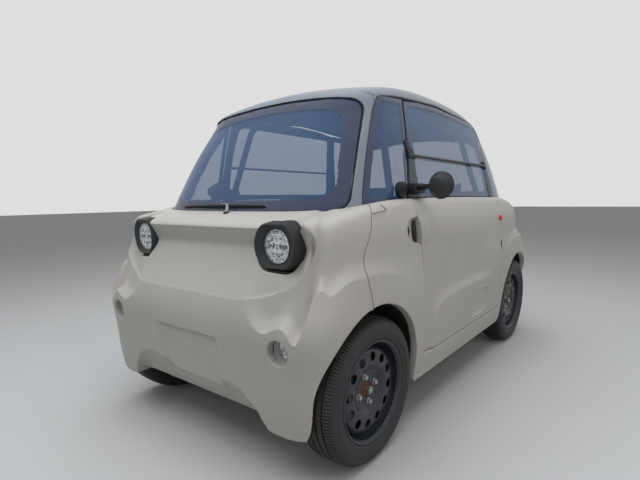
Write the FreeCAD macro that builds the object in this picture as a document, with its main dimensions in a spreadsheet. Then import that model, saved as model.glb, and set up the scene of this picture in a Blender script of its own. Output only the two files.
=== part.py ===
import FreeCAD
import Part
import math
import os
from FreeCAD import Placement, Rotation, Vector

# Electric microcar: a short two-seater on four steel wheels. All sizes are in millimetres.
# +Z is up, the car faces -Y, +X is the car's left, and the origin is on the ground under its middle.
# The body is the same seen from the front and from the back: every rear moulding, and the right
# door, is the front or left one turned half a turn about the vertical.

SIZES = {
    # Whole vehicle
    "body_length": 2410, "body_width": 1390, "body_height": 1520, "wheel_base": 1728,
    "wheel_track": 1200, "sill_height": 200, "crease_height": 565, "hood_lip_height": 890,
    "cowl_height": 930, "belt_height": 985, "glass_top_height": 1395,
    # Skins
    "skin_wall": 34, "end_wall": 66, "roof_wall": 26, "glass_inset": 3, "glass_thickness": 6,
    "panel_gap": 0.5, "door_gap": 9.5, "door_gap_top": 12, "door_depth": 52,
    "door_frame_depth": 24,
    # Greenhouse
    "cabin_half_width_low": 612, "cabin_half_width_top": 480,
    "cabin_half_length_low": 975, "cabin_half_length_top": 655,
    "screen_half_low": 537, "screen_half_top": 455, "screen_corner": 45,
    "window_corner": 40, "window_frame": 34, "window_post": 88, "window_rail": 28,
    "pane_bar_height": 1160, "pane_bar_width": 14,
    # Doors
    "door_half_low": 499, "door_half_belt": 530, "door_lead_top": 362, "door_base": 315,
    "hinge_x": 685, "hinge_y": 500, "hinge_low": 420, "hinge_high": 690, "hinge_pin": 3,
    "hinge_play": 0.3, "hinge_leaf": 8, "hinge_tall": 60,
    # Front and rear mouldings
    "panel_seam": 905, "mask_half_width": 585, "mask_low": 640, "mask_depth": 42,
    "mask_valley": 822, "mask_edge": 2, "chin_half_width": 430, "chin_top": 345, "chin_depth": 54,
    "plate_half_width": 200, "plate_low": 298, "plate_top": 497, "plate_depth": 11,
    # Hollows pressed into the sides
    "ledge_depth": 32, "ledge_tall": 250, "swoosh_depth": 13, "swoosh_tall": 230, "swoosh_height": 540,
    "pocket_depth": 5, "grip_depth": 22, "grip_height": 850, "grip_tall": 120, "grip_reach": 94,
    # Lamps
    "lamp_spacing": 838, "lamp_height": 826, "lamp_width": 180, "lamp_tall": 155,
    "lamp_back": 1040, "lamp_front": 1135, "lens_radius": 59, "lens_set_back": 38,
    "low_lamp_spacing": 1026, "low_lamp_height": 497, "low_lamp_radius": 34, "low_lamp_rim": 43,
    # Wheels
    "tyre_radius": 278.5, "tyre_width": 155, "tyre_wall": 14, "tyre_shoulder": 34,
    "rim_radius": 186, "rim_width": 130,
    "rim_lip": 9, "rim_wall": 5, "disc_set_back": 38, "hub_radius": 62, "vent_count": 12,
    "vent_radius": 15, "vent_circle": 132, "bolt_circle": 98, "bolt_radius": 9,
    "spindle_radius": 15, "bearing_gap": 0.4, "nut_radius": 17, "nut_tall": 14, "nut_slot": 5,
    # Arches
    "arch_radius": 296, "arch_height": 315, "liner_wall": 4, "liner_inner": 350,
    # Running gear
    "rail_spacing": 480, "rail_width": 50, "rail_tall": 60, "rail_height": 205,
    "cross_wide": 50, "cross_end": 155, "cross_middle": 430, "lift_hole_radius": 12,
    "lift_hole_depth": 40, "lift_hole_place": 380, "steer_axis": 565, "knuckle_tall": 170,
    "knuckle_radius": 17, "arm_thick": 24, "arm_deep": 42, "upper_arm_deep": 30,
    "strut_x": 430, "strut_back": 45,
    "strut_radius": 22, "strut_long": 400, "damper_long": 290, "running_gap": 0.3,
    "motor_wide": 320, "motor_deep": 260, "motor_tall": 240,
    "battery_wide": 420, "battery_deep": 480, "shaft_radius": 12,
    # Cabin
    "floor_thick": 8, "tube_radius": 16, "tube_bend": 60, "cross_tube_radius": 13,
    "seat_spacing": 560, "seat_width": 430,
    "seat_height": 590, "seat_pad": 90, "seat_long": 380, "seat_back_tall": 480, "seat_recline": 160,
    "seat_stagger": 170, "driver_seat": -140,
    "steering_wheel_radius": 175, "steering_grip": 13, "steering_height": 860,
    "steering_hub_long": 36, "steering_hub_radius": 38, "steering_spoke_radius": 10,
    "column_long": 430, "column_radius": 20, "steering_place": 330, "steering_tilt": 28,
    "dash_height": 800, "dash_depth": 170, "dash_place": 800,
    # Mirror and wiper
    "mirror_radius": 56, "mirror_out": 722, "mirror_place": 455, "mirror_height": 1030,
    "wiper_length": 520,
}

doc = FreeCAD.newDocument("microcar")
sheet = doc.addObject("Spreadsheet::Sheet", "Sizes")
for row, (alias, value) in enumerate(SIZES.items(), start=1):
    sheet.set("A%d" % row, alias)
    sheet.set("B%d" % row, str(value))
    sheet.setAlias("B%d" % row, alias)
doc.recompute()


def size(alias):
    return float(sheet.get(alias))


X_AXIS = Vector(1, 0, 0)
Y_AXIS = Vector(0, 1, 0)
Z_AXIS = Vector(0, 0, 1)
ORIGIN = Vector(0, 0, 0)
HALF_LENGTH = size("body_length") / 2
HALF_WIDTH = size("body_width") / 2
AXLE = size("wheel_base") / 2
HUB = size("tyre_radius")
WHEEL_X = size("wheel_track") / 2
NODES = []


def keep(label, shape):
    """A finished sub-part whose shape the functions below have worked out."""
    node = doc.addObject("Part::Feature", label)
    node.Label = label
    node.Shape = shape
    NODES.append(node)
    return node


def primitive(kind, name, sizes, place, turn=None):
    """A primitive whose sizes and place are bound to cells of the sheet."""
    item = doc.addObject("Part::" + kind, name)
    item.Placement = Placement(ORIGIN, turn or Rotation())
    for key, cell in sizes.items():
        item.setExpression(key, cell)
    for axis, cell in zip("xyz", place):
        item.setExpression(".Placement.Base." + axis, cell)
    return item


def turned(shape, angle=180):
    """The same moulding at the other end of the car."""
    copy = shape.copy()
    copy.rotate(ORIGIN, Z_AXIS, angle)
    return copy


def mirrored(shape):
    """The same piece on the other side of the car."""
    return shape.mirror(ORIGIN, X_AXIS)


def joined(shapes):
    return shapes[0].multiFuse(shapes[1:]).removeSplitter()


# Body envelope
# A horizontal cut through the body is a rounded oblong |x/a|^p + |y/b|^p = 1. The skins are
# lofted through such cuts, and pulled in by the wall's thickness for their inner sides.

RING_STEPS = 5


def quarter_points(half_width, half_length, power):
    """Points of a quarter of the rounded oblong, closer together at its corner."""
    corner = 0.5 ** (1 / power)
    shares = [corner * (1 - (1 - step / RING_STEPS) ** 2) for step in range(RING_STEPS + 1)]
    side = [(half_width * (1 - share ** power) ** (1 / power), half_length * share) for share in shares]
    end = [(half_width * share, half_length * (1 - share ** power) ** (1 / power)) for share in shares]
    return side + end[-2::-1]


def ring(height, half_width, half_length, power):
    points = quarter_points(half_width, half_length, power)
    knots = [step / (len(points) - 1) for step in range(len(points))]
    edges = []
    for sx, sy in ((1, 1), (-1, 1), (-1, -1), (1, -1)):
        corner = [Vector(sx * x, sy * y, height) for x, y in points]
        curve = Part.BSplineCurve()
        start, stop = Vector(0, sy, 0), Vector(-sx, 0, 0)
        if sx * sy < 0:
            corner.reverse()
            start, stop = Vector(-sx, 0, 0) * -1, Vector(0, sy, 0) * -1
        reach = half_width * 2
        curve.interpolate(Points=corner, Parameters=knots, InitialTangent=start * reach,
                          FinalTangent=stop * reach)
        edges.append(curve.toShape())
    return Part.Wire(edges)


def hull_levels(inset_side, inset_end):
    """The tub: height, half width, half length and squareness of each cut."""
    sill, crease, lip = size("sill_height"), size("crease_height"), size("hood_lip_height")
    rows = [
        (sill - 20, 36, 22, 14),
        (sill + 60, 20, 12, 13),
        (crease - 130, 5, 3, 12),
        (crease, 0, 3, 12),
        (crease + 95, 6, 30, 10),
        (lip - 110, 18, 68, 9),
        (lip, 30, 98, 8),
        (lip + 60, 52, 128, 7),
        (lip + 130, 86, 170, 7),
    ]
    return [(height, HALF_WIDTH - tuck - inset_side, HALF_LENGTH - rake - inset_end, power)
            for height, tuck, rake, power in rows]


def pressed_levels(rows):
    """The tub with its ends pressed in by the depth given at each height."""
    levels = hull_levels(0, 0)
    profile = Part.BSplineCurve()
    profile.interpolate(Points=[Vector(*level[1:]) for level in levels],
                        Parameters=[level[0] for level in levels])
    result = []
    for height, depth in rows:
        wide, long, power = profile.value(min(max(height, levels[0][0]), levels[-1][0]))
        result.append((height, wide, long - depth, power))
    return result


def cabin_levels(inset):
    """The greenhouse: the sides lean in and the screens lean back towards the roof."""
    low, top = size("hood_lip_height") - 20, size("glass_top_height")
    wide_low, wide_top = size("cabin_half_width_low"), size("cabin_half_width_top")
    long_low, long_top = size("cabin_half_length_low"), size("cabin_half_length_top")
    rows = []
    for share, power in ((0, 5), (0.2, 5.3), (0.45, 6), (0.7, 7), (0.88, 8), (1, 8.5)):
        bow = 4 * share * (1 - share)
        rows.append((low + share * (top - low), wide_low + share * (wide_top - wide_low) + 8 * bow,
                     long_low + share * (long_top - long_low) + 14 * bow, power))
    rows.append((top + 45, wide_top - 14, long_top - 45, 8))
    rows.append((size("body_height") + 20, wide_top - 62, long_top - 130, 7))
    return [(height, a - inset, b - inset, power) for height, a, b, power in rows]


def loft(levels):
    return Part.makeLoft([ring(*level) for level in levels], True, False)


def side_prism(points, low_x, high_x, smooth=False):
    """A closed side-view outline, y and z, drawn out across the car."""
    return outline_face([Vector(low_x, y, z) for y, z in points], smooth).extrude(X_AXIS * (high_x - low_x))


def end_prism(points, low_y, high_y, smooth=False):
    """A closed front-view outline, x and z, drawn out along the car."""
    return outline_face([Vector(x, low_y, z) for x, z in points], smooth).extrude(Y_AXIS * (high_y - low_y))


def outline_face(points, smooth):
    if smooth:
        curve = Part.BSplineCurve()
        curve.interpolate(points)
        base = [Vector(p.x, p.y, 0) for p in (points[-1], points[0])]
        edges = [curve.toShape(), Part.makeLine(points[-1], base[0]), Part.makeLine(*base),
                 Part.makeLine(base[1], points[0])]
        return Part.Face(Part.Wire(edges))
    return Part.Face(Part.makePolygon(points + points[:1]))


def rounded(points, radius):
    """A closed outline whose corners are rounded, as a list of points on its arcs."""
    result = []
    count = len(points)
    for index, corner in enumerate(points):
        before, after = points[index - 1], points[(index + 1) % count]
        ends = []
        for other in (before, after):
            reach = math.dist(corner, other)
            share = min(radius / reach, 0.45)
            ends.append([c + share * (o - c) for c, o in zip(corner, other)])
        for step in range(5):
            t = step / 4
            result.append(tuple((1 - t) ** 2 * a + 2 * t * (1 - t) * c + t * t * b
                                for a, c, b in zip(ends[0], corner, ends[1])))
    return result


def deck_prism(drop):
    """What lies under the hood, the belt and the tail deck, as seen from the side."""
    lip, cowl, belt = size("hood_lip_height"), size("cowl_height"), size("belt_height")
    half = [(HALF_LENGTH + 60, lip - 60), (HALF_LENGTH - 70, lip - 16), (HALF_LENGTH - 105, lip + 3),
            (size("cabin_half_length_low"), cowl), (size("cabin_half_length_low") - 170, belt - 24),
            (500, belt - 4)]
    points = [(-y, z - drop) for y, z in half] + [(0, belt - drop)] + [(y, z - drop) for y, z in half[::-1]]
    return side_prism(points, -900, 900, smooth=True)


def crown_prism(drop):
    """What lies under the roof's crown."""
    top, edge = size("body_height"), size("glass_top_height")
    half = [(size("cabin_half_length_top") + 120, edge - 40), (size("cabin_half_length_top") - 20, edge + 32),
            (size("cabin_half_length_top") * 0.55, top - 22)]
    points = [(-y, z - drop) for y, z in half] + [(0, top - drop)] + [(y, z - drop) for y, z in half[::-1]]
    return side_prism(points, -900, 900, smooth=True)


def mask_outline():
    """The sunken face round the lamps, under the lip of the hood."""
    wide, low, top = size("mask_half_width"), size("mask_low"), size("hood_lip_height") + 70
    half = [(wide - 250, low), (wide - 100, low + 60), (wide - 15, low + 160), (wide, low + 230), (wide, top)]
    return rounded([(-x, z) for x, z in half[::-1]] + half, 70)


def chin_line():
    """Lower edge of the bumper's face: the plate's rebate with a scoop on either side of it."""
    wide, top, plate = size("chin_half_width"), size("chin_top"), size("plate_low")
    return [(-wide - 20, 150), (-wide + 17, top - 83), (-wide + 57, top - 33), (-wide + 128, top - 2),
            (-233, top + 5), (-170, top - 10), (-102, plate + 5), (0, plate + 1), (170, plate),
            (225, top - 24), (275, top - 8), (wide - 115, top - 25), (wide - 73, top - 56),
            (wide - 39, top - 83), (wide + 10, 150)]


def side_hollow(rows, fade):
    """What is pressed out of the left side over a crease: crease height and depth at places along the car."""
    sections = []
    for y, crease, depth in rows:
        wide = WIDTH_AT.value(crease).x
        reach = [(1, 0), (0.86, 0.24), (0.5, 0.55), (0.14, 0.84), (-0.2, 1.1)]
        points = [Vector(HALF_WIDTH + 60, y, crease)]
        for share, up in reach:
            height = crease + up * fade
            points.append(Vector(WIDTH_AT.value(height).x - share * depth, y, height))
        points.append(Vector(HALF_WIDTH + 60, y, crease + 1.1 * fade))
        sections.append(Part.makePolygon(points + points[:1]))
    return Part.makeLoft(sections, True, True)


def grip_outline():
    """The hand recess ahead of the door's leading edge: half a disc that opens towards the door."""
    straight, tall = -size("door_half_belt") - 6, size("grip_tall") / 2
    arc = [(straight - 4 - size("grip_reach") * math.sin(math.radians(a)),
            size("grip_height") + tall * math.cos(math.radians(a))) for a in range(0, 181, 15)]
    return [(straight + 40, size("grip_height") + tall)] + arc + [(straight + 40, size("grip_height") - tall)]


def side_cut(outline, depth):
    """An outline pressed into the left side by a depth."""
    return side_prism(outline, 300, 900).cut(loft(hull_levels(depth, 0)))


print("envelope")
HULL = loft(hull_levels(0, 0)).common(deck_prism(0))
CABIN = loft(cabin_levels(0)).common(crown_prism(0))
NOSE_END, NOSE_BACK = -HALF_LENGTH - 40, -700
mask_low, valley, lip = size("mask_low"), size("mask_valley"), size("hood_lip_height")
mask_edge, deep = size("mask_edge"), size("mask_depth")
MASK_CUT = end_prism(mask_outline(), NOSE_END, NOSE_BACK).cut(loft(pressed_levels(
    [(mask_low - 40, mask_edge - 8), (mask_low, mask_edge), (mask_low + 60, deep * 0.33),
     (mask_low + 120, deep * 0.69), (valley, deep), (lip - 28, deep * 0.6), (lip + 3, mask_edge + 1),
     (lip + 60, mask_edge - 16), (lip + 100, mask_edge - 20)])))
chin_top, chin_deep = size("chin_top"), size("chin_depth")
CHIN_CUT = end_prism(chin_line(), NOSE_END, NOSE_BACK, smooth=True).cut(loft(pressed_levels(
    [(120, chin_deep * 1.3), (200, chin_deep), (250, chin_deep * 0.68), (300, chin_deep * 0.34),
     (chin_top, mask_edge), (chin_top + 60, mask_edge - 14)])))
WIDTH_AT = Part.BSplineCurve()
WIDTH_AT.interpolate(Points=[Vector(level[1], 0, 0) for level in hull_levels(0, 0)],
                     Parameters=[level[0] for level in hull_levels(0, 0)])
ledge = size("ledge_depth")
LEDGE_CUT = side_hollow([(-1260, 560, ledge), (-1150, 650, ledge), (-1031, 706, ledge),
                         (-879, 723, ledge), (-760, 704, ledge * 0.8), (-650, 668, ledge * 0.4),
                         (-545, 625, 0.5)], size("ledge_tall"))
swoosh, crease = size("swoosh_depth"), size("swoosh_height")
SWOOSH_CUT = side_hollow([(-395, crease - 40, 0.5), (-300, crease - 14, swoosh * 0.7),
                          (-155, crease - 6, swoosh), (100, crease, swoosh),
                          (300, crease + 2, swoosh * 0.4), (420, crease + 4, 0.5)], size("swoosh_tall"))
POCKET_CUT = side_cut(rounded([(28, 350), (34, 449), (150, 490), (298, 477), (290, 400), (240, 350)], 45),
                      size("pocket_depth"))
GRIP_CUT = side_cut(grip_outline(), size("grip_depth"))
PLATE_WIDE = size("plate_half_width")
PLATE_CUT = end_prism(
    rounded([(-PLATE_WIDE, size("plate_low")), (PLATE_WIDE, size("plate_low")),
             (PLATE_WIDE, size("plate_top")), (-PLATE_WIDE, size("plate_top"))], 22),
    NOSE_END, NOSE_BACK).cut(loft(hull_levels(-200, size("plate_depth"))))
OUTER = HULL.fuse(CABIN)
for cut in (MASK_CUT, PLATE_CUT, CHIN_CUT, LEDGE_CUT, mirrored(LEDGE_CUT), SWOOSH_CUT, POCKET_CUT):
    OUTER = OUTER.cut(cut).cut(turned(cut))
INNER = loft(hull_levels(size("skin_wall"), size("end_wall"))).common(deck_prism(size("skin_wall"))).fuse(
    loft(cabin_levels(size("skin_wall"))).common(crown_prism(size("roof_wall"))))
SHELL = OUTER.cut(INNER)
DOOR_INNER = loft(hull_levels(size("door_depth"), size("end_wall"))).common(
    deck_prism(size("skin_wall"))).fuse(
    loft(cabin_levels(size("door_frame_depth"))).common(crown_prism(size("roof_wall"))))
DOOR_SHELL = OUTER.cut(DOOR_INNER)
GLASS_SHELL = loft(cabin_levels(size("glass_inset"))).cut(
    loft(cabin_levels(size("glass_inset") + size("glass_thickness"))))

# Outlines of the openings

BELT = size("belt_height")
GLASS_LOW = BELT - 8
SCREEN_LOW, SCREEN_TOP = size("cowl_height") + 6, size("glass_top_height") - 12


def screen_outline(shrink):
    """Windscreen, seen from the front. Its upper and lower edges are bowed."""
    low, top = size("screen_half_low") - shrink, size("screen_half_top") - shrink
    points = [(-low, SCREEN_LOW + shrink + 8), (0, SCREEN_LOW + shrink - 4), (low, SCREEN_LOW + shrink + 8),
              (top, SCREEN_TOP - shrink - 24), (0, SCREEN_TOP - shrink), (-top, SCREEN_TOP - shrink - 24)]
    return rounded(points, size("screen_corner"))


def hoop_line(z, grow=0):
    """How far forward the side windows reach at a height: the hoop's edge leans back upwards."""
    share = (z - BELT) / (size("glass_top_height") - BELT)
    return -(790 + share * (590 - 790)) + grow


def door_outline(grow, grow_top):
    """Left door, seen from the side: its leading edge leans back above the belt."""
    low, belt, lead = size("door_half_low"), size("door_half_belt"), size("door_lead_top")
    base, top = size("door_base") - grow, size("glass_top_height") + 10 + grow
    waist = BELT - 60
    points = [(-low - grow, base), (-belt - grow, waist), (-belt + 12 - grow_top, BELT),
              (-lead - grow_top, top), (0, top + 22), (belt + 6 + grow_top, top - 4),
              (belt - 4 + grow_top, BELT), (belt + grow, waist), (low + grow, base)]
    return rounded(points, 14)


def roof_seam(drop=0):
    """Lower edge of the roof along the sides, from the front hoop to the rear hoop."""
    top = size("glass_top_height") - drop
    half = [(608, top - 37), (545, top + 3), (size("door_lead_top"), top + 17)]
    return [(-y, z) for y, z in half] + [(0, top + 33)] + [(y, z) for y, z in half[::-1]]


def arch_prism(radius, low_x, high_x):
    """Round wheel opening on the left front, open to the ground."""
    round_part = Part.makeCylinder(radius, high_x - low_x, Vector(low_x, -AXLE, size("arch_height")), X_AXIS)
    foot = Part.makeBox(high_x - low_x, 2 * radius, size("arch_height"), Vector(low_x, -AXLE - radius, 0))
    return round_part.fuse(foot)


FAR = 1000
ARCH = arch_prism(size("arch_radius"), size("liner_inner"), FAR)
ARCHES = [ARCH, mirrored(ARCH), turned(ARCH), turned(mirrored(ARCH))]
DOOR_HOLE = side_prism(door_outline(size("door_gap"), size("door_gap_top")), 300, FAR)
DOOR_PLUG = side_prism(door_outline(0, 0), 300, FAR)
SCREEN_HOLE = end_prism(screen_outline(0), -FAR - 300, -450)
SCREEN_PLUG = end_prism(screen_outline(size("panel_gap")), -FAR - 300, -450)

# Panels of the tub and greenhouse

print("panels")
SEAM = size("panel_seam")
SILL_SEAM = size("door_base") - size("door_gap")
lower = SHELL.cut(CABIN.fuse(side_prism([(-FAR, BELT + 12), (FAR, BELT + 12), (FAR, 1700), (-FAR, 1700)],
                                        -FAR, FAR)))
for arch in ARCHES:
    lower = lower.cut(arch)
lower = lower.cut(DOOR_HOLE).cut(turned(DOOR_HOLE))
seam_line = [(-SEAM + 40, BELT + 20), (-SEAM - 20, BELT - 180), (-SEAM - 10, size("mask_low") + 30),
             (-SEAM, size("sill_height") - 60)]
nose_zone = side_prism([(-1400, size("sill_height") - 60), (-1400, BELT + 20)] + seam_line, -FAR, FAR)
gap = size("panel_gap")
rest_zone = side_prism([(y + gap, z) for y, z in seam_line]
                       + [(-y - gap, z) for y, z in seam_line[::-1]], -FAR, FAR)


def lamp_envelope(grow):
    """Front outline of a lamp housing: a circle flattened above and below, drawn out rearwards."""
    centre = Vector(size("lamp_spacing") / 2, -size("lamp_front"), size("lamp_height"))
    length = size("lamp_front") - size("lamp_back") + 2 * grow
    wide, tall = size("lamp_width") + 2 * grow, size("lamp_tall") + 2 * grow
    disc = Part.makeCylinder(wide / 2, length, centre - Y_AXIS * grow, Y_AXIS)
    slab = Part.makeBox(wide, length, tall, centre - Vector(wide / 2, grow, tall / 2))
    return disc.common(slab)


LAMP_HOLE = lamp_envelope(gap)
low_centre = Vector(size("low_lamp_spacing") / 2, -HALF_LENGTH - 30, size("low_lamp_height"))
LOW_HOLE = Part.makeCylinder(size("low_lamp_rim") + 0.5, 150, low_centre, Y_AXIS)
nose = lower.common(nose_zone)
for hole in (LAMP_HOLE, LOW_HOLE):
    nose = nose.cut(hole).cut(mirrored(hole))
keep("front_panel", nose)
keep("rear_panel", turned(nose))

sides = lower.common(rest_zone).cut(GRIP_CUT).cut(turned(GRIP_CUT))
sill_zone = side_prism([(-AXLE + size("arch_radius") - 20, 0), (-AXLE + size("arch_radius") - 20, SILL_SEAM),
                        (AXLE - size("arch_radius") + 20, SILL_SEAM), (AXLE - size("arch_radius") + 20, 0)],
                       -FAR, FAR)
half_left = Part.makeBox(FAR, 2 * FAR, 2 * FAR, Vector(0, -FAR, 0))
quarter_front = Part.makeBox(FAR, FAR, 2 * FAR, Vector(0, -FAR, 0))
left_sides = sides.common(half_left)
fender_space = left_sides.cut(sill_zone)
fender = fender_space.common(quarter_front)
fender_rear_left = fender_space.cut(quarter_front)
keep("fenders_front", Part.makeCompound([fender, turned(fender_rear_left)]))
keep("fenders_rear", Part.makeCompound([fender_rear_left, turned(fender)]))
sill = left_sides.common(sill_zone)
keep("sills", Part.makeCompound([sill, turned(sill)]))

upper = SHELL.common(CABIN).cut(HULL)
header = size("cabin_half_length_top")
seam_end = roof_seam()[0]
hoop_top = size("glass_top_height")
hoop_zone = side_prism([(-1100, BELT - 80), (-1100, hoop_top + 28), (-header + 62, hoop_top + 54),
                        (-header + 92, hoop_top + 8), seam_end, (hoop_line(BELT - 80), BELT - 80)], -FAR, FAR)
hoop = upper.common(hoop_zone).cut(SCREEN_HOLE)
keep("hoop_front", hoop)
keep("hoop_rear", turned(hoop))
windscreen = GLASS_SHELL.common(SCREEN_PLUG).cut(HULL)
keep("windscreen", windscreen)
keep("rear_window", turned(windscreen))
roof_zone = side_prism([(-FAR, seam_end[1])] + roof_seam()
                       + [(FAR, seam_end[1]), (FAR, 1700), (-FAR, 1700)], -FAR, FAR)
roof = upper.common(roof_zone).cut(hoop_zone).cut(turned(hoop_zone)).cut(DOOR_HOLE).cut(turned(DOOR_HOLE))
keep("roof_panel", roof)

quarter_top = roof_seam(gap)
quarter_top = [(quarter_top[0][0] + gap, quarter_top[0][1])] + quarter_top[1:-1] + [
    (quarter_top[-1][0] - gap, quarter_top[-1][1])]
quarter_zone = side_prism([(hoop_line(BELT - 80) + gap, BELT - 80)] + quarter_top
                          + [(-hoop_line(BELT - 80) - gap, BELT - 80)], 300, FAR)
side_glass = GLASS_SHELL.common(quarter_zone).cut(DOOR_HOLE).cut(HULL)
side_glass = side_glass.cut(SCREEN_HOLE).cut(turned(SCREEN_HOLE))
keep("quarter_windows", Part.makeCompound([side_glass, turned(side_glass)]))

# Doors

print("doors")
corner = size("window_corner")
door_body = DOOR_SHELL.common(DOOR_PLUG)
frame_width, post_width, rail_width = size("window_frame"), size("window_post"), size("window_rail")
window_back, window_top = size("door_half_belt") - frame_width, size("glass_top_height") - frame_width / 2
window = rounded([(-size("door_half_belt") + post_width, GLASS_LOW + rail_width),
                  (-size("door_lead_top") + frame_width, window_top - 1), (window_back, window_top + 1),
                  (window_back, GLASS_LOW + rail_width)], corner)
window_hole = side_prism(window, 300, FAR)
bar_low = size("pane_bar_height") - size("pane_bar_width") / 2
bar_zone = side_prism([(-600, bar_low), (-600, bar_low + size("pane_bar_width")),
                       (600, bar_low + size("pane_bar_width")), (600, bar_low)], 300, FAR)
door = door_body.cut(window_hole.cut(bar_zone))
panes = GLASS_SHELL.common(window_hole).cut(bar_zone)
hinge_axis = Vector(size("hinge_x"), size("hinge_y"), 0)
leaf = size("hinge_leaf")
for hinge_z in (size("hinge_low"), size("hinge_high")):
    tall = size("hinge_tall")
    base = hinge_axis + Z_AXIS * (hinge_z - tall / 2)
    door = door.cut(Part.makeCylinder(size("hinge_pin") + size("hinge_play"), tall, base))
    for leaf_z in (0, tall - leaf):
        door = door.cut(Part.makeBox(20, 60, leaf + 2, base + Vector(-10, -10, leaf_z - 1)))
keep("door_left", door)
keep("door_left_panes", panes)
keep("door_right", turned(door))
keep("door_right_panes", turned(panes))

brackets = []
fender_walls = sides.common(half_left)
for hinge_z in (size("hinge_low"), size("hinge_high")):
    base = hinge_axis + Z_AXIS * (hinge_z - size("hinge_tall") / 2)
    bracket = Part.makeCylinder(size("hinge_pin"), size("hinge_tall"), base)
    for leaf_z in (0, size("hinge_tall") - leaf):
        plate = Part.makeBox(10, 60, leaf, base + Vector(-7, -4, leaf_z))
        bracket = bracket.fuse(plate.common(OUTER))
    bracket = bracket.cut(fender_walls)
    bracket = min(bracket.Solids, key=lambda solid: solid.BoundBox.YMin)
    brackets.append(bracket)
keep("hinge_brackets", Part.makeCompound(brackets + [turned(bracket) for bracket in brackets]))

# Mirrors: a round glass in a cone, on an arm from the window's leading corner

mirror_centre = Vector(size("mirror_out"), -size("mirror_place"), size("mirror_height"))
cone = Part.makeCone(size("mirror_radius"), size("mirror_radius") * 0.45, 60, mirror_centre, Y_AXIS * -1)
foot = Vector(555, -size("mirror_place") - 18, size("mirror_height") - 14)
arm_run = mirror_centre - Y_AXIS * 34 - foot
arm = Part.makeCylinder(11, arm_run.Length, foot, arm_run)
mirror = cone.fuse(arm).cut(DOOR_SHELL)
mirror = max(mirror.Solids, key=lambda solid: solid.Volume)
keep("mirror_left", mirror)
keep("mirror_right", mirrored(mirror))

# Lamps

print("lamps")
lens_y = -size("lamp_front") + size("lens_set_back")
lamp_x, lamp_z = size("lamp_spacing") / 2, size("lamp_height")
pocket = Part.makeCone(size("lens_radius") + 14, size("lens_radius") + 3, size("lens_set_back"),
                       Vector(lamp_x, -size("lamp_front"), lamp_z), Y_AXIS)
lens_seat = Part.makeCylinder(size("lens_radius") + 0.3, 20, Vector(lamp_x, lens_y - 0.1, lamp_z), Y_AXIS)
housing = lamp_envelope(0).cut(pocket).cut(lens_seat)
lens = Part.makeCylinder(size("lens_radius"), 18, Vector(lamp_x, lens_y, lamp_z), Y_AXIS)


def four_corners(piece):
    return Part.makeCompound([piece, mirrored(piece), turned(piece), turned(mirrored(piece))])


keep("lamp_housings", four_corners(housing))
keep("head_lamp_lenses", Part.makeCompound([lens, mirrored(lens)]))
keep("tail_lamp_lenses", Part.makeCompound([turned(lens), turned(mirrored(lens))]))

low_x, low_z = size("low_lamp_spacing") / 2, size("low_lamp_height")
low_face = -HALF_LENGTH + 42
low_cup = Part.makeCylinder(size("low_lamp_rim"), 34, Vector(low_x, low_face - 8, low_z), Y_AXIS).cut(
    Part.makeCylinder(size("low_lamp_radius") + 2, 30, Vector(low_x, low_face - 8, low_z), Y_AXIS))
low_lens = Part.makeCylinder(size("low_lamp_radius"), 24, Vector(low_x, low_face - 2, low_z), Y_AXIS)
low_lamp = low_cup.fuse(low_lens)
keep("corner_lamps", four_corners(low_lamp))

# Wheels

print("wheels")


def revolve(points):
    """A closed outline of radius and offset along the axle, turned about the axle."""
    wire = Part.makePolygon([Vector(offset, 0, radius) for radius, offset in points + points[:1]])
    return Part.Face(wire).revolve(ORIGIN, X_AXIS, 360)


def tyre_shape():
    half, outer, inner = size("tyre_width") / 2, size("tyre_radius"), size("rim_radius")
    bead = size("rim_width") / 2
    wall, shoulder = size("tyre_wall"), size("tyre_shoulder")
    lip = size("rim_lip") + 0.5
    outside = [(inner, bead - 7.7), (inner + lip, bead - 4.5), (inner + lip, bead + 1),
               (inner + 14, bead + 3), (inner + 46, half), (outer - 26, half - 3),
               (outer - 7, half - 14), (outer, half - shoulder)]
    inside = [(outer - wall, half - shoulder - 2), (inner + 10, bead - 22)]
    other_side = [(radius, -offset) for radius, offset in outside[::-1]]
    return revolve(outside + other_side + [(radius, -offset) for radius, offset in inside[::-1]] + inside)


def rim_shape():
    bead, inner, wall = size("rim_width") / 2, size("rim_radius"), size("rim_wall")
    lip = size("rim_lip")
    seat = inner - 0.5
    disc = bead - size("disc_set_back")
    outline = [(seat + lip, -bead), (seat + lip, -bead + 4), (seat, -bead + 7), (seat, -bead + 24),
               (seat - 26, -bead + 36), (seat - 26, bead - 50), (seat, bead - 36), (seat, bead - 7),
               (seat + lip, bead - 4), (seat + lip, bead), (seat - wall, bead), (seat - wall, bead - 32),
               (seat - 26 - wall, bead - 48), (seat - 36, disc - 4), (size("vent_circle") + 22, disc),
               (size("vent_circle") - 22, disc + 3), (size("hub_radius") + 20, disc - 22),
               (size("hub_radius"), disc - 26), (30, disc - 26), (30, disc - 33),
               (size("hub_radius") + 2, disc - 33), (size("hub_radius") + 24, disc - 29),
               (size("vent_circle") - 22, disc - 4), (size("vent_circle") + 18, disc - 7),
               (seat - 26 - wall, disc - 14), (seat - 26 - wall, -bead + 38), (seat - wall, -bead + 26),
               (seat - wall, -bead)]
    rim = revolve(outline)
    for step in range(int(size("vent_count"))):
        vent = Part.makeCylinder(size("vent_radius"), 60, Vector(disc - 40, 0, size("vent_circle")), X_AXIS)
        vent.rotate(ORIGIN, X_AXIS, 360 * step / size("vent_count"))
        rim = rim.cut(vent)
    return rim


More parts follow.
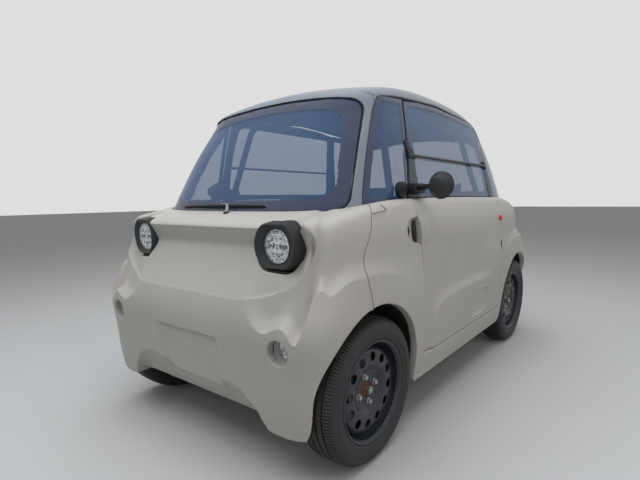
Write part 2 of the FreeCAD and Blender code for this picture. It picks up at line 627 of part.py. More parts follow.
def hub_shape():
    """Bearing hub: flange against the rim, centre boss through it, four bolts."""
    disc = size("rim_width") / 2 - size("disc_set_back")
    back = disc - 33
    hub = Part.makeCylinder(size("hub_radius") - 4, 6, Vector(back - 6, 0, 0), X_AXIS)
    hub = hub.fuse(Part.makeCylinder(29, 38, Vector(back - 5, 0, 0), X_AXIS))
    nut = Part.makeCylinder(size("nut_radius"), size("nut_tall") + 1, Vector(back + 32, 0, 0), X_AXIS)
    slot = Part.makeBox(size("nut_tall"), 2 * size("nut_radius"), size("nut_slot"),
                        Vector(back + 38, -size("nut_radius"), -size("nut_slot") / 2))
    for angle in (0, 60, 120):
        turned_slot = slot.copy()
        turned_slot.rotate(ORIGIN, X_AXIS, angle)
        nut = nut.cut(turned_slot)
    hub = hub.fuse(nut)
    return hub.cut(Part.makeCylinder(size("spindle_radius") + size("bearing_gap"), 36,
                                     Vector(back - 10, 0, 0), X_AXIS))


def bolts_shape():
    disc = size("rim_width") / 2 - size("disc_set_back")
    bolts = []
    for step in range(4):
        bolt = Part.makeCylinder(size("bolt_radius"), 14, Vector(disc - 26, 0, size("bolt_circle") / 2),
                                 X_AXIS)
        bolt.rotate(ORIGIN, X_AXIS, 45 + 90 * step)
        bolts.append(bolt)
    return bolts


TYRE, RIM, HUB_SHAPE, BOLTS = tyre_shape(), rim_shape(), hub_shape(), bolts_shape()
WHEELS = {"front_left": (1, -1), "front_right": (-1, -1), "rear_left": (1, 1), "rear_right": (-1, 1)}


def at_wheel(shape, side, end):
    piece = shape.copy() if side > 0 else mirrored(shape)
    piece.translate(Vector(side * WHEEL_X, end * AXLE, HUB))
    return piece


for name, (side, end) in WHEELS.items():
    keep("tyre_" + name, at_wheel(TYRE, side, end))
    keep("wheel_" + name, Part.makeCompound([at_wheel(piece, side, end)
                                             for piece in [RIM, HUB_SHAPE] + BOLTS]))

# Steering knuckles with their spindles, and what carries them

print("running gear")
steer_x = size("steer_axis")
pin_r, clear = size("knuckle_radius"), size("running_gap")
spindle_end = WHEEL_X + size("rim_width") / 2 - size("disc_set_back") - 10
spindle = Part.makeCylinder(size("spindle_radius"), spindle_end - steer_x, Vector(steer_x, -AXLE, HUB),
                            X_AXIS)
upright = Part.makeCylinder(pin_r, size("knuckle_tall"),
                            Vector(steer_x, -AXLE, HUB - size("knuckle_tall") / 2))
steer_arm = Part.makeBox(20, 95, 16, Vector(steer_x - pin_r, -AXLE, HUB - 50))
knuckle = joined([upright, spindle, steer_arm])
keep("knuckle_left", knuckle)
keep("knuckle_right", mirrored(knuckle))

arm_top = HUB - size("knuckle_tall") / 2 - clear
upper_arm_low = HUB + size("knuckle_tall") / 2 + clear
rail_x = size("rail_spacing") / 2
rail_side = rail_x + size("rail_width") / 2
arm_end = steer_x + pin_r
strut_place = Vector(size("strut_x"), -AXLE + size("strut_back"), arm_top)
arm_y = -AXLE - size("arm_deep") / 2
lower_arm = Part.makeBox(arm_end - rail_side, size("arm_deep"), size("arm_thick"),
                         Vector(rail_side, arm_y, arm_top - size("arm_thick")))
lower_foot = Part.makeBox(60, 110, size("arm_thick"),
                          Vector(size("strut_x") - 30, arm_y, arm_top - size("arm_thick")))
rail_boss = Part.makeBox(30, size("arm_deep"), 40, Vector(rail_side, arm_y, arm_top - 1))
upper_y = -AXLE - size("upper_arm_deep") / 2
upper_arm = Part.makeBox(arm_end - size("strut_x"), size("upper_arm_deep"), size("arm_thick"),
                         Vector(size("strut_x"), upper_y, upper_arm_low))
upper_foot = Part.makeBox(56, 75, size("arm_thick"), Vector(size("strut_x") - 28, upper_y, upper_arm_low))
strut = Part.makeCylinder(size("strut_radius"), size("strut_long"), strut_place, Z_AXIS)
strut_top = Part.makeCylinder(46, 10, strut_place + Z_AXIS * (size("strut_long") - 10), Z_AXIS)
front_leg = joined([lower_arm, lower_foot, rail_boss, strut, strut_top, upper_arm, upper_foot])
keep("suspension_front", Part.makeCompound([front_leg, mirrored(front_leg)]))

motor = primitive("Box", "motor_block", {"Length": "Sizes.motor_wide", "Width": "Sizes.motor_deep",
                                         "Height": "Sizes.motor_tall"},
                  ("-Sizes.motor_wide / 2", "-Sizes.wheel_base / 2 - Sizes.motor_deep / 2",
                   "Sizes.tyre_radius - Sizes.motor_tall / 2"))
NODES.append(motor)
floor_height = "Sizes.rail_height + Sizes.rail_tall + Sizes.floor_thick"
battery = primitive("Box", "battery_block",
                    {"Length": "Sizes.battery_wide", "Width": "Sizes.battery_deep",
                     "Height": "Sizes.seat_height - Sizes.seat_pad - (" + floor_height + ")"},
                    ("-Sizes.seat_spacing / 2 - Sizes.battery_wide / 2",
                     "-Sizes.battery_deep / 2 + Sizes.seat_stagger", floor_height))
NODES.append(battery)

half_shaft_end = steer_x - pin_r - clear
half_shaft = Part.makeCylinder(size("shaft_radius"), half_shaft_end - size("motor_wide") / 2,
                               Vector(size("motor_wide") / 2, -AXLE, HUB), X_AXIS)
keep("drive_shafts", Part.makeCompound([half_shaft, mirrored(half_shaft)]))

rail_low = size("rail_height")
rail_top = rail_low + size("rail_tall")
arm_x = size("strut_x") + 20
rear_spindle = Part.makeCylinder(size("spindle_radius"), spindle_end - arm_x, Vector(arm_x, AXLE, HUB),
                                 X_AXIS)
carrier = Part.makeCylinder(60, steer_x + pin_r - 540, Vector(540, AXLE, HUB), X_AXIS)
trailing = Part.makeBox(44, 330, 46, Vector(arm_x, AXLE - 300, HUB - 23))
beam = Part.makeBox(2 * arm_x + 20, 60, 40, Vector(-arm_x - 10, AXLE - 200, rail_top + clear))
rear_side = [rear_spindle, carrier, trailing]
keep("rear_axle", joined([beam] + rear_side + [mirrored(piece) for piece in rear_side]))
damper = Part.makeCylinder(size("strut_radius"), size("damper_long"),
                           Vector(arm_x + 22, AXLE, HUB + 23 + clear), Z_AXIS)
keep("dampers_rear", Part.makeCompound([damper, mirrored(damper)]))

# Chassis rails, floor and wheel arch liners

rail = Part.makeBox(size("rail_width"), 2 * HALF_LENGTH, size("rail_tall"),
                    Vector(rail_x - size("rail_width") / 2, -HALF_LENGTH, rail_low)).common(INNER)
for sy in (1, -1):
    mouth = Vector(rail_x, sy * size("lift_hole_place"), rail_low)
    rail = rail.cut(Part.makeCylinder(size("lift_hole_radius"), size("lift_hole_depth"), mouth))
keep("chassis_rails", Part.makeCompound([rail, turned(rail)]))
rail_inside = rail_x - size("rail_width") / 2
cross_places = (-HALF_LENGTH + size("cross_end"), -size("cross_middle"), size("cross_middle"),
                HALF_LENGTH - size("cross_end"))
cross = [Part.makeBox(2 * rail_inside, size("cross_wide"), size("rail_tall"),
                      Vector(-rail_inside, y - size("cross_wide") / 2, rail_low)) for y in cross_places]
motor_mount = Part.makeBox(rail_inside - size("motor_wide") / 2, 70, size("rail_tall"),
                           Vector(size("motor_wide") / 2, -AXLE - 35, rail_low))
keep("cross_members", Part.makeCompound(cross + [motor_mount, mirrored(motor_mount)]))
floor_edge = AXLE - size("arch_radius") - 12
floor = Part.makeBox(2 * HALF_WIDTH, 2 * floor_edge, size("floor_thick"),
                     Vector(-HALF_WIDTH, -floor_edge, rail_top)).common(INNER)
keep("floor_pan", floor)


def liner_shape():
    """Half-round tunnel over a wheel with a wall on its inner side, open where the axle passes."""
    outer, wall = size("arch_radius") + size("liner_wall"), size("liner_wall")
    low_x, centre_z = size("liner_inner"), size("arch_height")
    drum = Part.makeCylinder(outer, HALF_WIDTH - low_x, Vector(low_x, -AXLE, centre_z), X_AXIS)
    room = Part.makeCylinder(outer - wall, HALF_WIDTH, Vector(low_x + wall, -AXLE, centre_z), X_AXIS)
    foot = Part.makeBox(FAR, 2 * outer + 10, centre_z + 100, Vector(0, -AXLE - outer - 5, -100))
    notch = Part.makeBox(2 * wall, 200, 240, Vector(low_x - wall / 2, -AXLE - 90, 200))
    return drum.cut(room).cut(foot).cut(notch).common(INNER)


liner = liner_shape()
keep("wheel_liners", four_corners(liner))

# Cabin

print("cabin")


def bent_tube(points, bend, radius):
    """A round bar along straight runs joined by arcs."""
    edges, start = [], points[0]
    for before, corner, after in zip(points, points[1:], points[2:]):
        back, ahead = (before - corner).normalize(), (after - corner).normalize()
        half_turn = (math.pi - back.getAngle(ahead)) / 2
        inward = (back + ahead).normalize()
        reach = bend * math.tan(half_turn)
        centre = corner + inward * (bend / math.cos(half_turn))
        edges.append(Part.makeLine(start, corner + back * reach))
        arc = Part.Arc(corner + back * reach, centre - inward * bend, corner + ahead * reach)
        edges.append(arc.toShape())
        start = corner + ahead * reach
    edges.append(Part.makeLine(start, points[-1]))
    section = Part.Wire(Part.makeCircle(radius, points[0], points[1] - points[0]))
    return Part.Wire(edges).makePipeShell([section], True, True)


tube_r = size("tube_radius")
floor_top = rail_top + size("floor_thick")
post_x, roof_x = HALF_WIDTH - size("door_depth") - 63, size("cabin_half_width_top") - size("skin_wall") - 36
tube_top = size("glass_top_height") - 20
foot_y, waist_y, waist_z = 522, 526, 930
side_hoop = bent_tube([Vector(post_x, -foot_y, floor_top), Vector(post_x, -foot_y, 700),
                       Vector(post_x - 45, -waist_y, waist_z), Vector(roof_x, -waist_y + 96, tube_top),
                       Vector(roof_x, waist_y - 96, tube_top), Vector(post_x - 45, waist_y, waist_z),
                       Vector(post_x, foot_y, 700), Vector(post_x, foot_y, floor_top)],
                      size("tube_bend"), tube_r)
cabin_frame = side_hoop.fuse(mirrored(side_hoop))
for y in (-waist_y + 166, waist_y - 166):
    cabin_frame = cabin_frame.fuse(Part.makeCylinder(size("cross_tube_radius"), 2 * roof_x,
                                                     Vector(-roof_x, y, tube_top), X_AXIS))
keep("cabin_frame", cabin_frame)

dash_top = size("dash_height")
dash_front = -size("dash_place")
dash_back = dash_front + size("dash_depth")
dash_side = rounded([(dash_front, dash_top - 140), (dash_front, dash_top - 8), (dash_back - 10, dash_top),
                     (dash_back + 10, dash_top - 60), (dash_front + 90, dash_top - 120)], 20)
dash = side_prism(dash_side, -HALF_WIDTH, HALF_WIDTH).common(INNER)
keep("dashboard", dash)

tilt = math.radians(size("steering_tilt"))
column_axis = Vector(0, math.cos(tilt), math.sin(tilt))
wheel_centre = Vector(size("seat_spacing") / 2, -size("steering_place"), size("steering_height"))
column_run = size("column_long")
column_end = size("steering_hub_long") + clear
column = Part.makeCylinder(size("column_radius"), column_run - column_end,
                           wheel_centre - column_axis * column_run, column_axis)
column = column.cut(dash)
column = max(column.Solids, key=lambda solid: solid.BoundBox.YMax)
keep("steering_column", column)


def steering_wheel_shape():
    grip, radius = size("steering_grip"), size("steering_wheel_radius")
    rim = Part.makeTorus(radius, grip, wheel_centre, column_axis)
    long, spoke = size("steering_hub_long"), size("steering_spoke_radius")
    hub = Part.makeCylinder(size("steering_hub_radius"), long - 2, wheel_centre - column_axis * long,
                            column_axis)
    wheel = rim.fuse(hub)
    spoke_start = wheel_centre - column_axis * 16
    down = Vector(0, math.sin(tilt), -math.cos(tilt))
    for along in (X_AXIS, -X_AXIS, down):
        wheel = wheel.fuse(Part.makeCylinder(spoke, radius - 4, spoke_start, along))
    return wheel


keep("steering_wheel", steering_wheel_shape())


def seat_shape(centre_x, front_y):
    """A one-piece seat on a plinth: cushion and back from one side outline."""
    wide, top, pad = size("seat_width"), size("seat_height"), size("seat_pad")
    fold, back = front_y + size("seat_long"), size("seat_back_tall")
    head = fold + size("seat_recline")
    outline = [(front_y, top - pad), (front_y + 10, top), (fold, top - 26), (head, top + back),
               (head + 70, top + back - 10), (fold + pad, top - 30), (fold + 50, top - pad)]
    return side_prism(rounded(outline, 24), centre_x - wide / 2, centre_x + wide / 2)


seat_x = size("seat_spacing") / 2
driver_front = size("driver_seat")
keep("seat_driver", seat_shape(seat_x, driver_front))
keep("seat_passenger", seat_shape(-seat_x, driver_front + size("seat_stagger")))
plinth = Part.makeBox(260, 300, size("seat_height") - size("seat_pad") - floor_top,
                      Vector(seat_x - 130, driver_front + 60, floor_top))
keep("seat_plinth", plinth)

glass_face = loft(cabin_levels(size("glass_inset")))
wiper_z = size("cowl_height") + 24
wiper = Part.makeBox(size("wiper_length"), 60, 14, Vector(-340, -size("cabin_half_length_low") - 8, wiper_z))
wiper = wiper.cut(glass_face).cut(HULL)
keep("wiper", max(wiper.Solids, key=lambda solid: solid.Volume))

# Checks and export

doc.recompute()
os.makedirs("parts", exist_ok=True)
faults = []
for item in doc.Objects:
    if "Invalid" in item.State or "Error" in item.State:
        faults.append(item.Label + " failed")
for node in NODES:
    if node.Shape.isNull() or not node.Shape.isValid():
        faults.append(node.Label + " has no valid shape")
    print("%-22s solids %d  volume %.0f cm3" % (node.Label, len(node.Shape.Solids), node.Shape.Volume / 1000))
if faults:
    raise SystemExit("; ".join(faults))
for node in NODES:
    node.Shape.exportStep("parts/%s.step" % node.Label)
print("wrote", len(NODES), "nodes")
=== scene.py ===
import bpy
import math
import numpy as np
from mathutils import Matrix, Vector
from mathutils.geometry import delaunay_2d_cdt


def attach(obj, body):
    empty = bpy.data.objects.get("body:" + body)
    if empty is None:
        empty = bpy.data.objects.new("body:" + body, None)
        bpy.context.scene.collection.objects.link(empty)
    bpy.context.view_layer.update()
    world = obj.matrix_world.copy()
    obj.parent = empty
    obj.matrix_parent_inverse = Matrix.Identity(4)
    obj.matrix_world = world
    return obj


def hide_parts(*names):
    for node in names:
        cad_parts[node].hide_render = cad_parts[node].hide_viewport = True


# Looks of a small electric two-seater. Sizes are in metres, in the frame of the CAD model:
# +Z is up, the car faces -Y, +X is its left side, and the origin is on the ground under it.
# The body is point-symmetric: each rear moulding is the front one turned half a turn about Z.

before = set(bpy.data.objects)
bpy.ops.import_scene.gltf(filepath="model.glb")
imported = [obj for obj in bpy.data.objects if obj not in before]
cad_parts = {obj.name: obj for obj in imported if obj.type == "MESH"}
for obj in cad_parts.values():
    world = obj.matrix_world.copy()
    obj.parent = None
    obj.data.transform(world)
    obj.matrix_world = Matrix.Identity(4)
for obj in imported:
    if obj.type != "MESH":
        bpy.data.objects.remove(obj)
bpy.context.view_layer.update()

# Driving sizes
HALF_WIDTH, HALF_LENGTH = 0.695, 1.205
SILL, CREASE, LIP, COWL, BELT = 0.200, 0.565, 0.890, 0.930, 0.985
GLASS_TOP, TOP = 1.395, 1.520
CABIN_WIDE, CABIN_WIDE_TOP = 0.636, 0.480
CABIN_LONG, CABIN_LONG_TOP = 0.983, 0.655
AXLE, ARCH_HEIGHT, ARCH_RADIUS = 0.864, 0.315, 0.296
SEAM = 0.905
GLASS_INSET, GLASS_WALL = 0.003, 0.006
DOOR_LOW, DOOR_BELT, DOOR_LEAD, DOOR_BASE = 0.499, 0.530, 0.362, 0.315
SCREEN_LOW_HALF, SCREEN_TOP_HALF = 0.548, 0.458

GRID = 0.008
EDGE = 0.003
SHUT_LINE = 0.0019


# Curves and outlines

def spline(points):
    """A smooth curve through points (x, y), as a function of x."""
    xs, ys = np.array(points, float).T
    count, gaps = len(xs), np.diff(xs)
    bend = np.eye(count)
    side = np.zeros(count)
    for i in range(1, count - 1):
        bend[i, i - 1:i + 2] = gaps[i - 1], 2 * (gaps[i - 1] + gaps[i]), gaps[i]
        side[i] = 6 * ((ys[i + 1] - ys[i]) / gaps[i] - (ys[i] - ys[i - 1]) / gaps[i - 1])
    curve = np.linalg.solve(bend, side)

    def value(x):
        x = np.clip(np.asarray(x, float), xs[0], xs[-1])
        i = np.clip(np.searchsorted(xs, x) - 1, 0, count - 2)
        t, gap = x - xs[i], gaps[i]
        slope = (ys[i + 1] - ys[i]) / gap - gap * (2 * curve[i] + curve[i + 1]) / 6
        return ys[i] + t * slope + t * t * curve[i] / 2 + t ** 3 * (curve[i + 1] - curve[i]) / (6 * gap)

    return value


def smooth(t):
    t = np.clip(t, 0, 1)
    return t * t * (3 - 2 * t)


def line(points):
    """Straight stretches through points (x, y), as a function of x."""
    xs, ys = np.array(points, float).T
    return lambda x: np.interp(x, xs, ys)


def resampled(points, step, closed=False):
    """The same line with evenly spaced points, its corners kept."""
    points = [np.array(p, float) for p in points]
    if closed:
        points = points + points[:1]
    result = []
    for start, stop in zip(points, points[1:]):
        count = max(1, int(round(np.linalg.norm(stop - start) / step)))
        result += [start + (stop - start) * k / count for k in range(count)]
    if not closed:
        result.append(points[-1])
    return np.array(result)


def rounded(points, radius, steps=5):
    """A closed outline whose corners are rounded."""
    result = []
    for index, corner in enumerate(points):
        before, after = points[index - 1], points[(index + 1) % len(points)]
        ends = []
        for other in (before, after):
            share = min(radius / math.dist(corner, other), 0.45)
            ends.append([c + share * (o - c) for c, o in zip(corner, other)])
        for step in range(steps):
            t = step / (steps - 1)
            result.append(tuple((1 - t) ** 2 * a + 2 * t * (1 - t) * c + t * t * b
                                for a, c, b in zip(ends[0], corner, ends[1])))
    return result


def grown(loop, amount):
    """A closed outline moved outwards by an amount, whatever way round it runs."""
    loop = np.asarray(loop, float)
    ahead, back = np.roll(loop, -1, 0) - loop, loop - np.roll(loop, 1, 0)
    ahead /= np.linalg.norm(ahead, axis=1)[:, None] + 1e-12
    back /= np.linalg.norm(back, axis=1)[:, None] + 1e-12
    run = ahead + back
    run /= np.linalg.norm(run, axis=1)[:, None] + 1e-12
    out = np.stack([run[:, 1], -run[:, 0]], 1)
    turn = np.clip(np.sum(run * ahead, axis=1), 0.6, 1)
    return loop + out * (amount * np.sign(area(loop)) / turn)[:, None]


def area(loop):
    x, y = np.asarray(loop).T
    return 0.5 * float(np.sum(x * np.roll(y, -1) - np.roll(x, -1) * y))


def inside(points, loop):
    """True for each point that lies within a closed outline."""
    x, y = points[:, 0], points[:, 1]
    hit = np.zeros(len(points), bool)
    for (x1, y1), (x2, y2) in zip(loop, np.roll(loop, -1, 0)):
        if y1 == y2:
            continue
        crosses = (y1 > y) != (y2 > y)
        hit ^= crosses & (x < (x2 - x1) * (y - y1) / (y2 - y1) + x1)
    return hit


def away(points, path, closed=True):
    """Distance of each point from a line or outline."""
    path = np.asarray(path, float)
    ends = np.roll(path, -1, 0) if closed else path[1:]
    starts = path if closed else path[:-1]
    best = np.full(len(points), 1e9)
    for a, b in zip(starts, ends):
        run = b - a
        t = np.clip(((points - a) @ run) / max(run @ run, 1e-12), 0, 1)
        gap = points - a - t[:, None] * run
        best = np.minimum(best, np.einsum("ij,ij->i", gap, gap))
    return np.sqrt(best)


# Body envelope
# A horizontal cut through the body is |x/a|^p + |y/b|^p = 1. A point of the skin is named by s,
# the way round from the middle of the nose towards the car's left side, and by its height.

HULL_ROWS = [(SILL - 0.020, 0.036, 0.022, 14), (SILL + 0.060, 0.020, 0.012, 13),
             (CREASE - 0.130, 0.005, 0.003, 12), (CREASE, 0, 0.003, 12),
             (CREASE + 0.095, 0.006, 0.030, 10), (LIP - 0.110, 0.018, 0.068, 9),
             (LIP, 0.030, 0.098, 8), (LIP + 0.060, 0.052, 0.128, 7), (LIP + 0.130, 0.086, 0.170, 7)]
CABIN_ROWS = []
for share, power in ((0, 6), (0.2, 6.2), (0.45, 6.8), (0.7, 7.5), (0.88, 8), (1, 8.5)):
    bow = 4 * share * (1 - share)
    CABIN_ROWS.append((LIP - 0.020 + share * (GLASS_TOP - LIP + 0.020),
                       CABIN_WIDE + share * (CABIN_WIDE_TOP - CABIN_WIDE) + 0.010 * bow,
                       CABIN_LONG + share * (CABIN_LONG_TOP - CABIN_LONG) + 0.014 * bow, power))
CABIN_ROWS.append((GLASS_TOP + 0.045, CABIN_WIDE_TOP - 0.014, CABIN_LONG_TOP - 0.045, 8))
CABIN_ROWS.append((TOP + 0.020, CABIN_WIDE_TOP - 0.062, CABIN_LONG_TOP - 0.130, 7))


def levels(rows):
    return [spline([(row[0], row[column]) for row in rows]) for column in (1, 2, 3)]


HULL = levels([(z, HALF_WIDTH - tuck, HALF_LENGTH - rake, power) for z, tuck, rake, power in HULL_ROWS])
CABIN = levels(CABIN_ROWS)


def ridge(half, top):
    """Heights over y, the same towards both ends, through the top in the middle."""
    return spline([(-y, z) for y, z in half] + [(0, top)] + [(y, z) for y, z in half[::-1]])


DECK = ridge([(HALF_LENGTH + 0.060, LIP - 0.060), (HALF_LENGTH - 0.070, LIP - 0.016),
              (HALF_LENGTH - 0.105, LIP + 0.003), (CABIN_LONG, COWL), (CABIN_LONG - 0.170, BELT - 0.024),
              (0.500, BELT - 0.004)], BELT)
CROWN = ridge([(CABIN_LONG_TOP + 0.120, GLASS_TOP - 0.040), (CABIN_LONG_TOP - 0.020, GLASS_TOP + 0.032),
               (CABIN_LONG_TOP * 0.55, TOP - 0.022)], TOP)

NOMINAL_POWER = 10
corner_angles = np.linspace(0, np.pi / 2, 4001)
reach = (np.abs(np.sin(corner_angles) / HALF_WIDTH) ** NOMINAL_POWER
         + np.abs(np.cos(corner_angles) / HALF_LENGTH) ** NOMINAL_POWER) ** (-1 / NOMINAL_POWER)
corner_x, corner_y = reach * np.sin(corner_angles), -reach * np.cos(corner_angles)
corner_s = np.concatenate([[0], np.cumsum(np.hypot(np.diff(corner_x), np.diff(corner_y)))])
QUARTER = corner_s[-1]


def wrapped(s):
    """The same place round the car, with s between minus two and two quarters."""
    return (np.asarray(s, float) + 2 * QUARTER) % (4 * QUARTER) - 2 * QUARTER


def from_end(s):
    """The way from the middle of the nearer end."""
    return QUARTER - np.abs(QUARTER - np.abs(wrapped(s)))


def nominal(s):
    """Point of the reference outline, s along it from the middle of the nose."""
    s = wrapped(s)
    side, way = np.sign(s), np.abs(s)
    rear = way > QUARTER
    way = np.where(rear, 2 * QUARTER - way, way)
    x = np.interp(way, corner_s, corner_x) * np.where(side == 0, 1, side)
    y = np.interp(way, corner_s, corner_y) * np.where(rear, -1, 1)
    return x, y


def round_at(s, z, shape, inset=0.0):
    """Point (x, y) of a horizontal cut at height z, pulled in by inset."""
    a, b, power = (curve(z) for curve in shape)
    x, y = nominal(s)
    x, y = x / HALF_WIDTH, y / HALF_LENGTH
    scale = (np.abs(x) ** power + np.abs(y) ** power) ** (-1 / power)
    return (a - inset) * scale * x, (b - inset) * scale * y


def way_of(x, y, z, shape):
    """The s of a point of the skin."""
    a, b, _ = (curve(z) for curve in shape)
    angle = np.arctan2(np.abs(x) / a * HALF_WIDTH, np.abs(y) / b * HALF_LENGTH)
    s = np.interp(angle, corner_angles, corner_s)
    s = np.where(np.asarray(y) > 0, 2 * QUARTER - s, s)
    return s * np.where(np.asarray(x) < 0, -1, 1)


def side_way(y, z, shape):
    """The s of a place on the left side, seen from the side."""
    a, b, power = (curve(z) for curve in shape)
    x = a * (1 - np.minimum(np.abs(y / b), 0.999) ** power) ** (1 / power)
    return way_of(x, y, z, shape)


def end_way(x, z, shape):
    """The s of a place on the front, seen from the front."""
    a, b, power = (curve(z) for curve in shape)
    y = -b * (1 - np.minimum(np.abs(x / a), 0.999) ** power) ** (1 / power)
    return way_of(x, y, z, shape)


# Tub skin: up the side to the shoulder, round it and in over the deck

way_table = np.linspace(-2 * QUARTER, 2 * QUARTER, 1201)


def top_edge(height, guess, shape):
    """The level, as a function of s, at which a shape's sides meet the surface height(x, y)."""
    z = np.full(len(way_table), guess)
    for _ in range(12):
        z = height(*round_at(way_table, z, shape))
    return lambda s: np.interp(wrapped(s), way_table, z)


def over_edge(v, top, radius, on_side, on_top):
    """Up a side, round its top edge and on inwards over the top."""
    t = np.clip((v - top + radius) / (2 * radius), 0, 1)[..., None]
    bend = (1 - t) ** 2 * on_side(top - radius) + 2 * t * (1 - t) * on_side(top) + t * t * on_top(radius)
    low, far = on_side(np.minimum(v, top - radius)), on_top(np.maximum(v - top, radius))
    return np.where(t <= 0, low, np.where(t >= 1, far, bend))


shoulder = top_edge(lambda x, y: DECK(y), 0.93, HULL)


def shoulder_radius(s):
    """The lip over the face is crisp, the shoulder over the doors is round."""
    return 0.006 + 0.030 * smooth((from_end(s) - 0.50) / 0.16)


def tub(s, v):
    """Point of the tub's skin: v is the height, and beyond the shoulder the way in over the deck."""
    s, v = np.asarray(s, float), np.asarray(v, float)
    top = shoulder(s)

    def on_side(z):
        x, y = round_at(s, z, HULL)
        return np.stack([x, y, z], -1)

    def on_deck(inset):
        x, y = round_at(s, top, HULL, inset)
        return np.stack([x, y, DECK(y)], -1)

    return over_edge(v, top, shoulder_radius(s), on_side, on_deck)


def cabin(s, v, inset=0.0):
    x, y = round_at(s, v, CABIN, inset)
    return np.stack([x, y, np.asarray(v, float) + 0 * x], -1)


def normals(surface, s, v, step=0.0015):
    across = surface(s + step, v) - surface(s - step, v)
    up = surface(s, v + step) - surface(s, v - step)
    normal = np.cross(across, up)
    return normal / (np.linalg.norm(normal, axis=-1)[..., None] + 1e-12)


def glass_line(s):
    """Where the deck meets the greenhouse, as the v of the tub at s."""
    top = shoulder(s)
    low, high = np.zeros(np.shape(s)), np.full(np.shape(s), 0.40)
    for _ in range(24):
        middle = (low + high) / 2
        x, y = round_at(s, top, HULL, middle)
        a, b, power = (curve(DECK(y)) for curve in CABIN)
        outside = (np.abs(x) / a) ** power + (np.abs(y) / b) ** power > 1
        low, high = np.where(outside, middle, low), np.where(outside, high, middle)
    return top + low


# Relief of the mouldings: how far the skin is pressed in at a point of the front left quarter

mask_half = [(0.335, 0.640), (0.497, 0.698), (0.524, 0.713), (0.555, 0.732), (0.573, 0.756), (0.582, 0.777),
             (0.587, 0.809), (0.5885, 0.830), (0.581, 0.858), (0.559, 0.885), (0.536, 0.899), (0.515, 0.912),
             (0.495, 0.940)]
MASK = np.array(rounded([(-x, z) for x, z in mask_half[::-1]] + mask_half, 0.085, 9))
MASK_DEPTH = line([(0.640, 0), (0.649, 0.0022), (0.700, 0.0135), (0.760, 0.0275), (0.812, 0.0400),
                   (0.820, 0.0413), (0.828, 0.0412), (0.836, 0.0380), (0.874, 0.0130), (0.880, 0.0085),
                   (0.886, 0.0040), (0.892, 0.0015), (0.900, 0)])
MASK_ROUND = 0.011
LAMP_NICHE = line([(-180, 0), (-90, 0), (-70, 0.004), (-45, 0.012), (-22, 0.018), (0, 0.024), (22, 0.034),
                   (38, 0.042), (52, 0.046), (63, 0.036), (74, 0.010), (84, 0), (180, 0)])
CHIN_LINE = line([(-0.62, 0.10), (-0.46, 0.180), (-0.43, 0.215), (-0.413, 0.262), (-0.373, 0.312),
                  (-0.302, 0.344), (-0.233, 0.350), (-0.170, 0.335), (-0.102, 0.304), (0, 0.300),
                  (0.200, 0.298), (0.214, 0.335), (0.270, 0.335), (0.315, 0.320), (0.357, 0.289),
                  (0.391, 0.262), (0.420, 0.215), (0.450, 0.180), (0.62, 0.10)])
PLATE_HALF, PLATE_TOP = 0.205, 0.497
LEDGE_FRONT = [(0.368, 0.596), (0.389, 0.579), (0.415, 0.562), (0.469, 0.558), (0.546, 0.570), (0.606, 0.586)]
LEDGE_SIDE = [(-1.141, 0.650), (-1.088, 0.682), (-1.031, 0.703), (-0.954, 0.718), (-0.879, 0.722),
              (-0.818, 0.716), (-0.708, 0.693), (-0.600, 0.650), (-0.500, 0.600)]
ledge_ways = [float(end_way(x, z, HULL)) for x, z in LEDGE_FRONT]
ledge_ways += [float(side_way(y, z, HULL)) for y, z in LEDGE_SIDE]
LEDGE = spline(list(zip(ledge_ways, [z for _, z in LEDGE_FRONT + LEDGE_SIDE])))
LEDGE_DEPTH = line([(ledge_ways[0] - 0.012, 0), (ledge_ways[0] + 0.020, 0.016), (ledge_ways[3] - 0.010, 0.034),
                    (ledge_ways[6], 0.034), (ledge_ways[8], 0.024), (ledge_ways[10], 0.014),
                    (ledge_ways[13], 0)])
LEDGE_TALL, LEDGE_FADE = 0.062, 0.270
FACE_END = -0.6
NICHE_REACH, PLATE_DEPTH, CHIN_DEPTH = 0.050, 0.011, 0.060


def face_relief(x, y, z, s):
    """Sunken face, plate rebate and chin of the nose."""
    points = np.stack([x, z], -1)
    depth = away(points, MASK) * np.where(inside(points, MASK), 1, 0)
    mask = MASK_DEPTH(z) * smooth(depth / MASK_ROUND)
    plate = PLATE_DEPTH * smooth((PLATE_TOP - z) / 0.004) * smooth((PLATE_HALF - x) / 0.007) \
        * smooth((PLATE_HALF + x) / 0.060)
    drop = np.maximum(CHIN_LINE(x) - z, 0)
    chin = CHIN_DEPTH * np.minimum(drop / np.maximum(CHIN_LINE(x) - SILL, 0.02), 1.1) ** 0.9
    around = np.degrees(np.arctan2(z - LAMP_Z, np.abs(x) - LAMP_X))
    beside = np.stack([np.abs(x) - LAMP_X, z - LAMP_Z], -1)
    ring = lamp_loop(0.009)
    reach = away(beside, ring) * np.where(inside(beside, ring), 0, 1)
    niche = LAMP_NICHE(around) * (1 - smooth(reach / NICHE_REACH)) * smooth(depth / MASK_ROUND)
    return (mask + niche + plate * smooth((z - 0.25) / 0.04) + chin) * (y < FACE_END)


def ledge_relief(x, y, z, s):
    """The scoop above the wheel: a step in over a crease that fades out upwards and rearwards."""
    s = np.abs(s)
    over = z - LEDGE(s)
    rise = np.sin(np.pi / 2 * np.clip(over / LEDGE_TALL, 0, 1))
    fade = 1 - smooth((over - LEDGE_TALL) / LEDGE_FADE)
    return LEDGE_DEPTH(s) * rise * fade


def nose_relief(x, y, z, s):
    return face_relief(x, y, z, s) + ledge_relief(x, y, z, s)


# Meshes

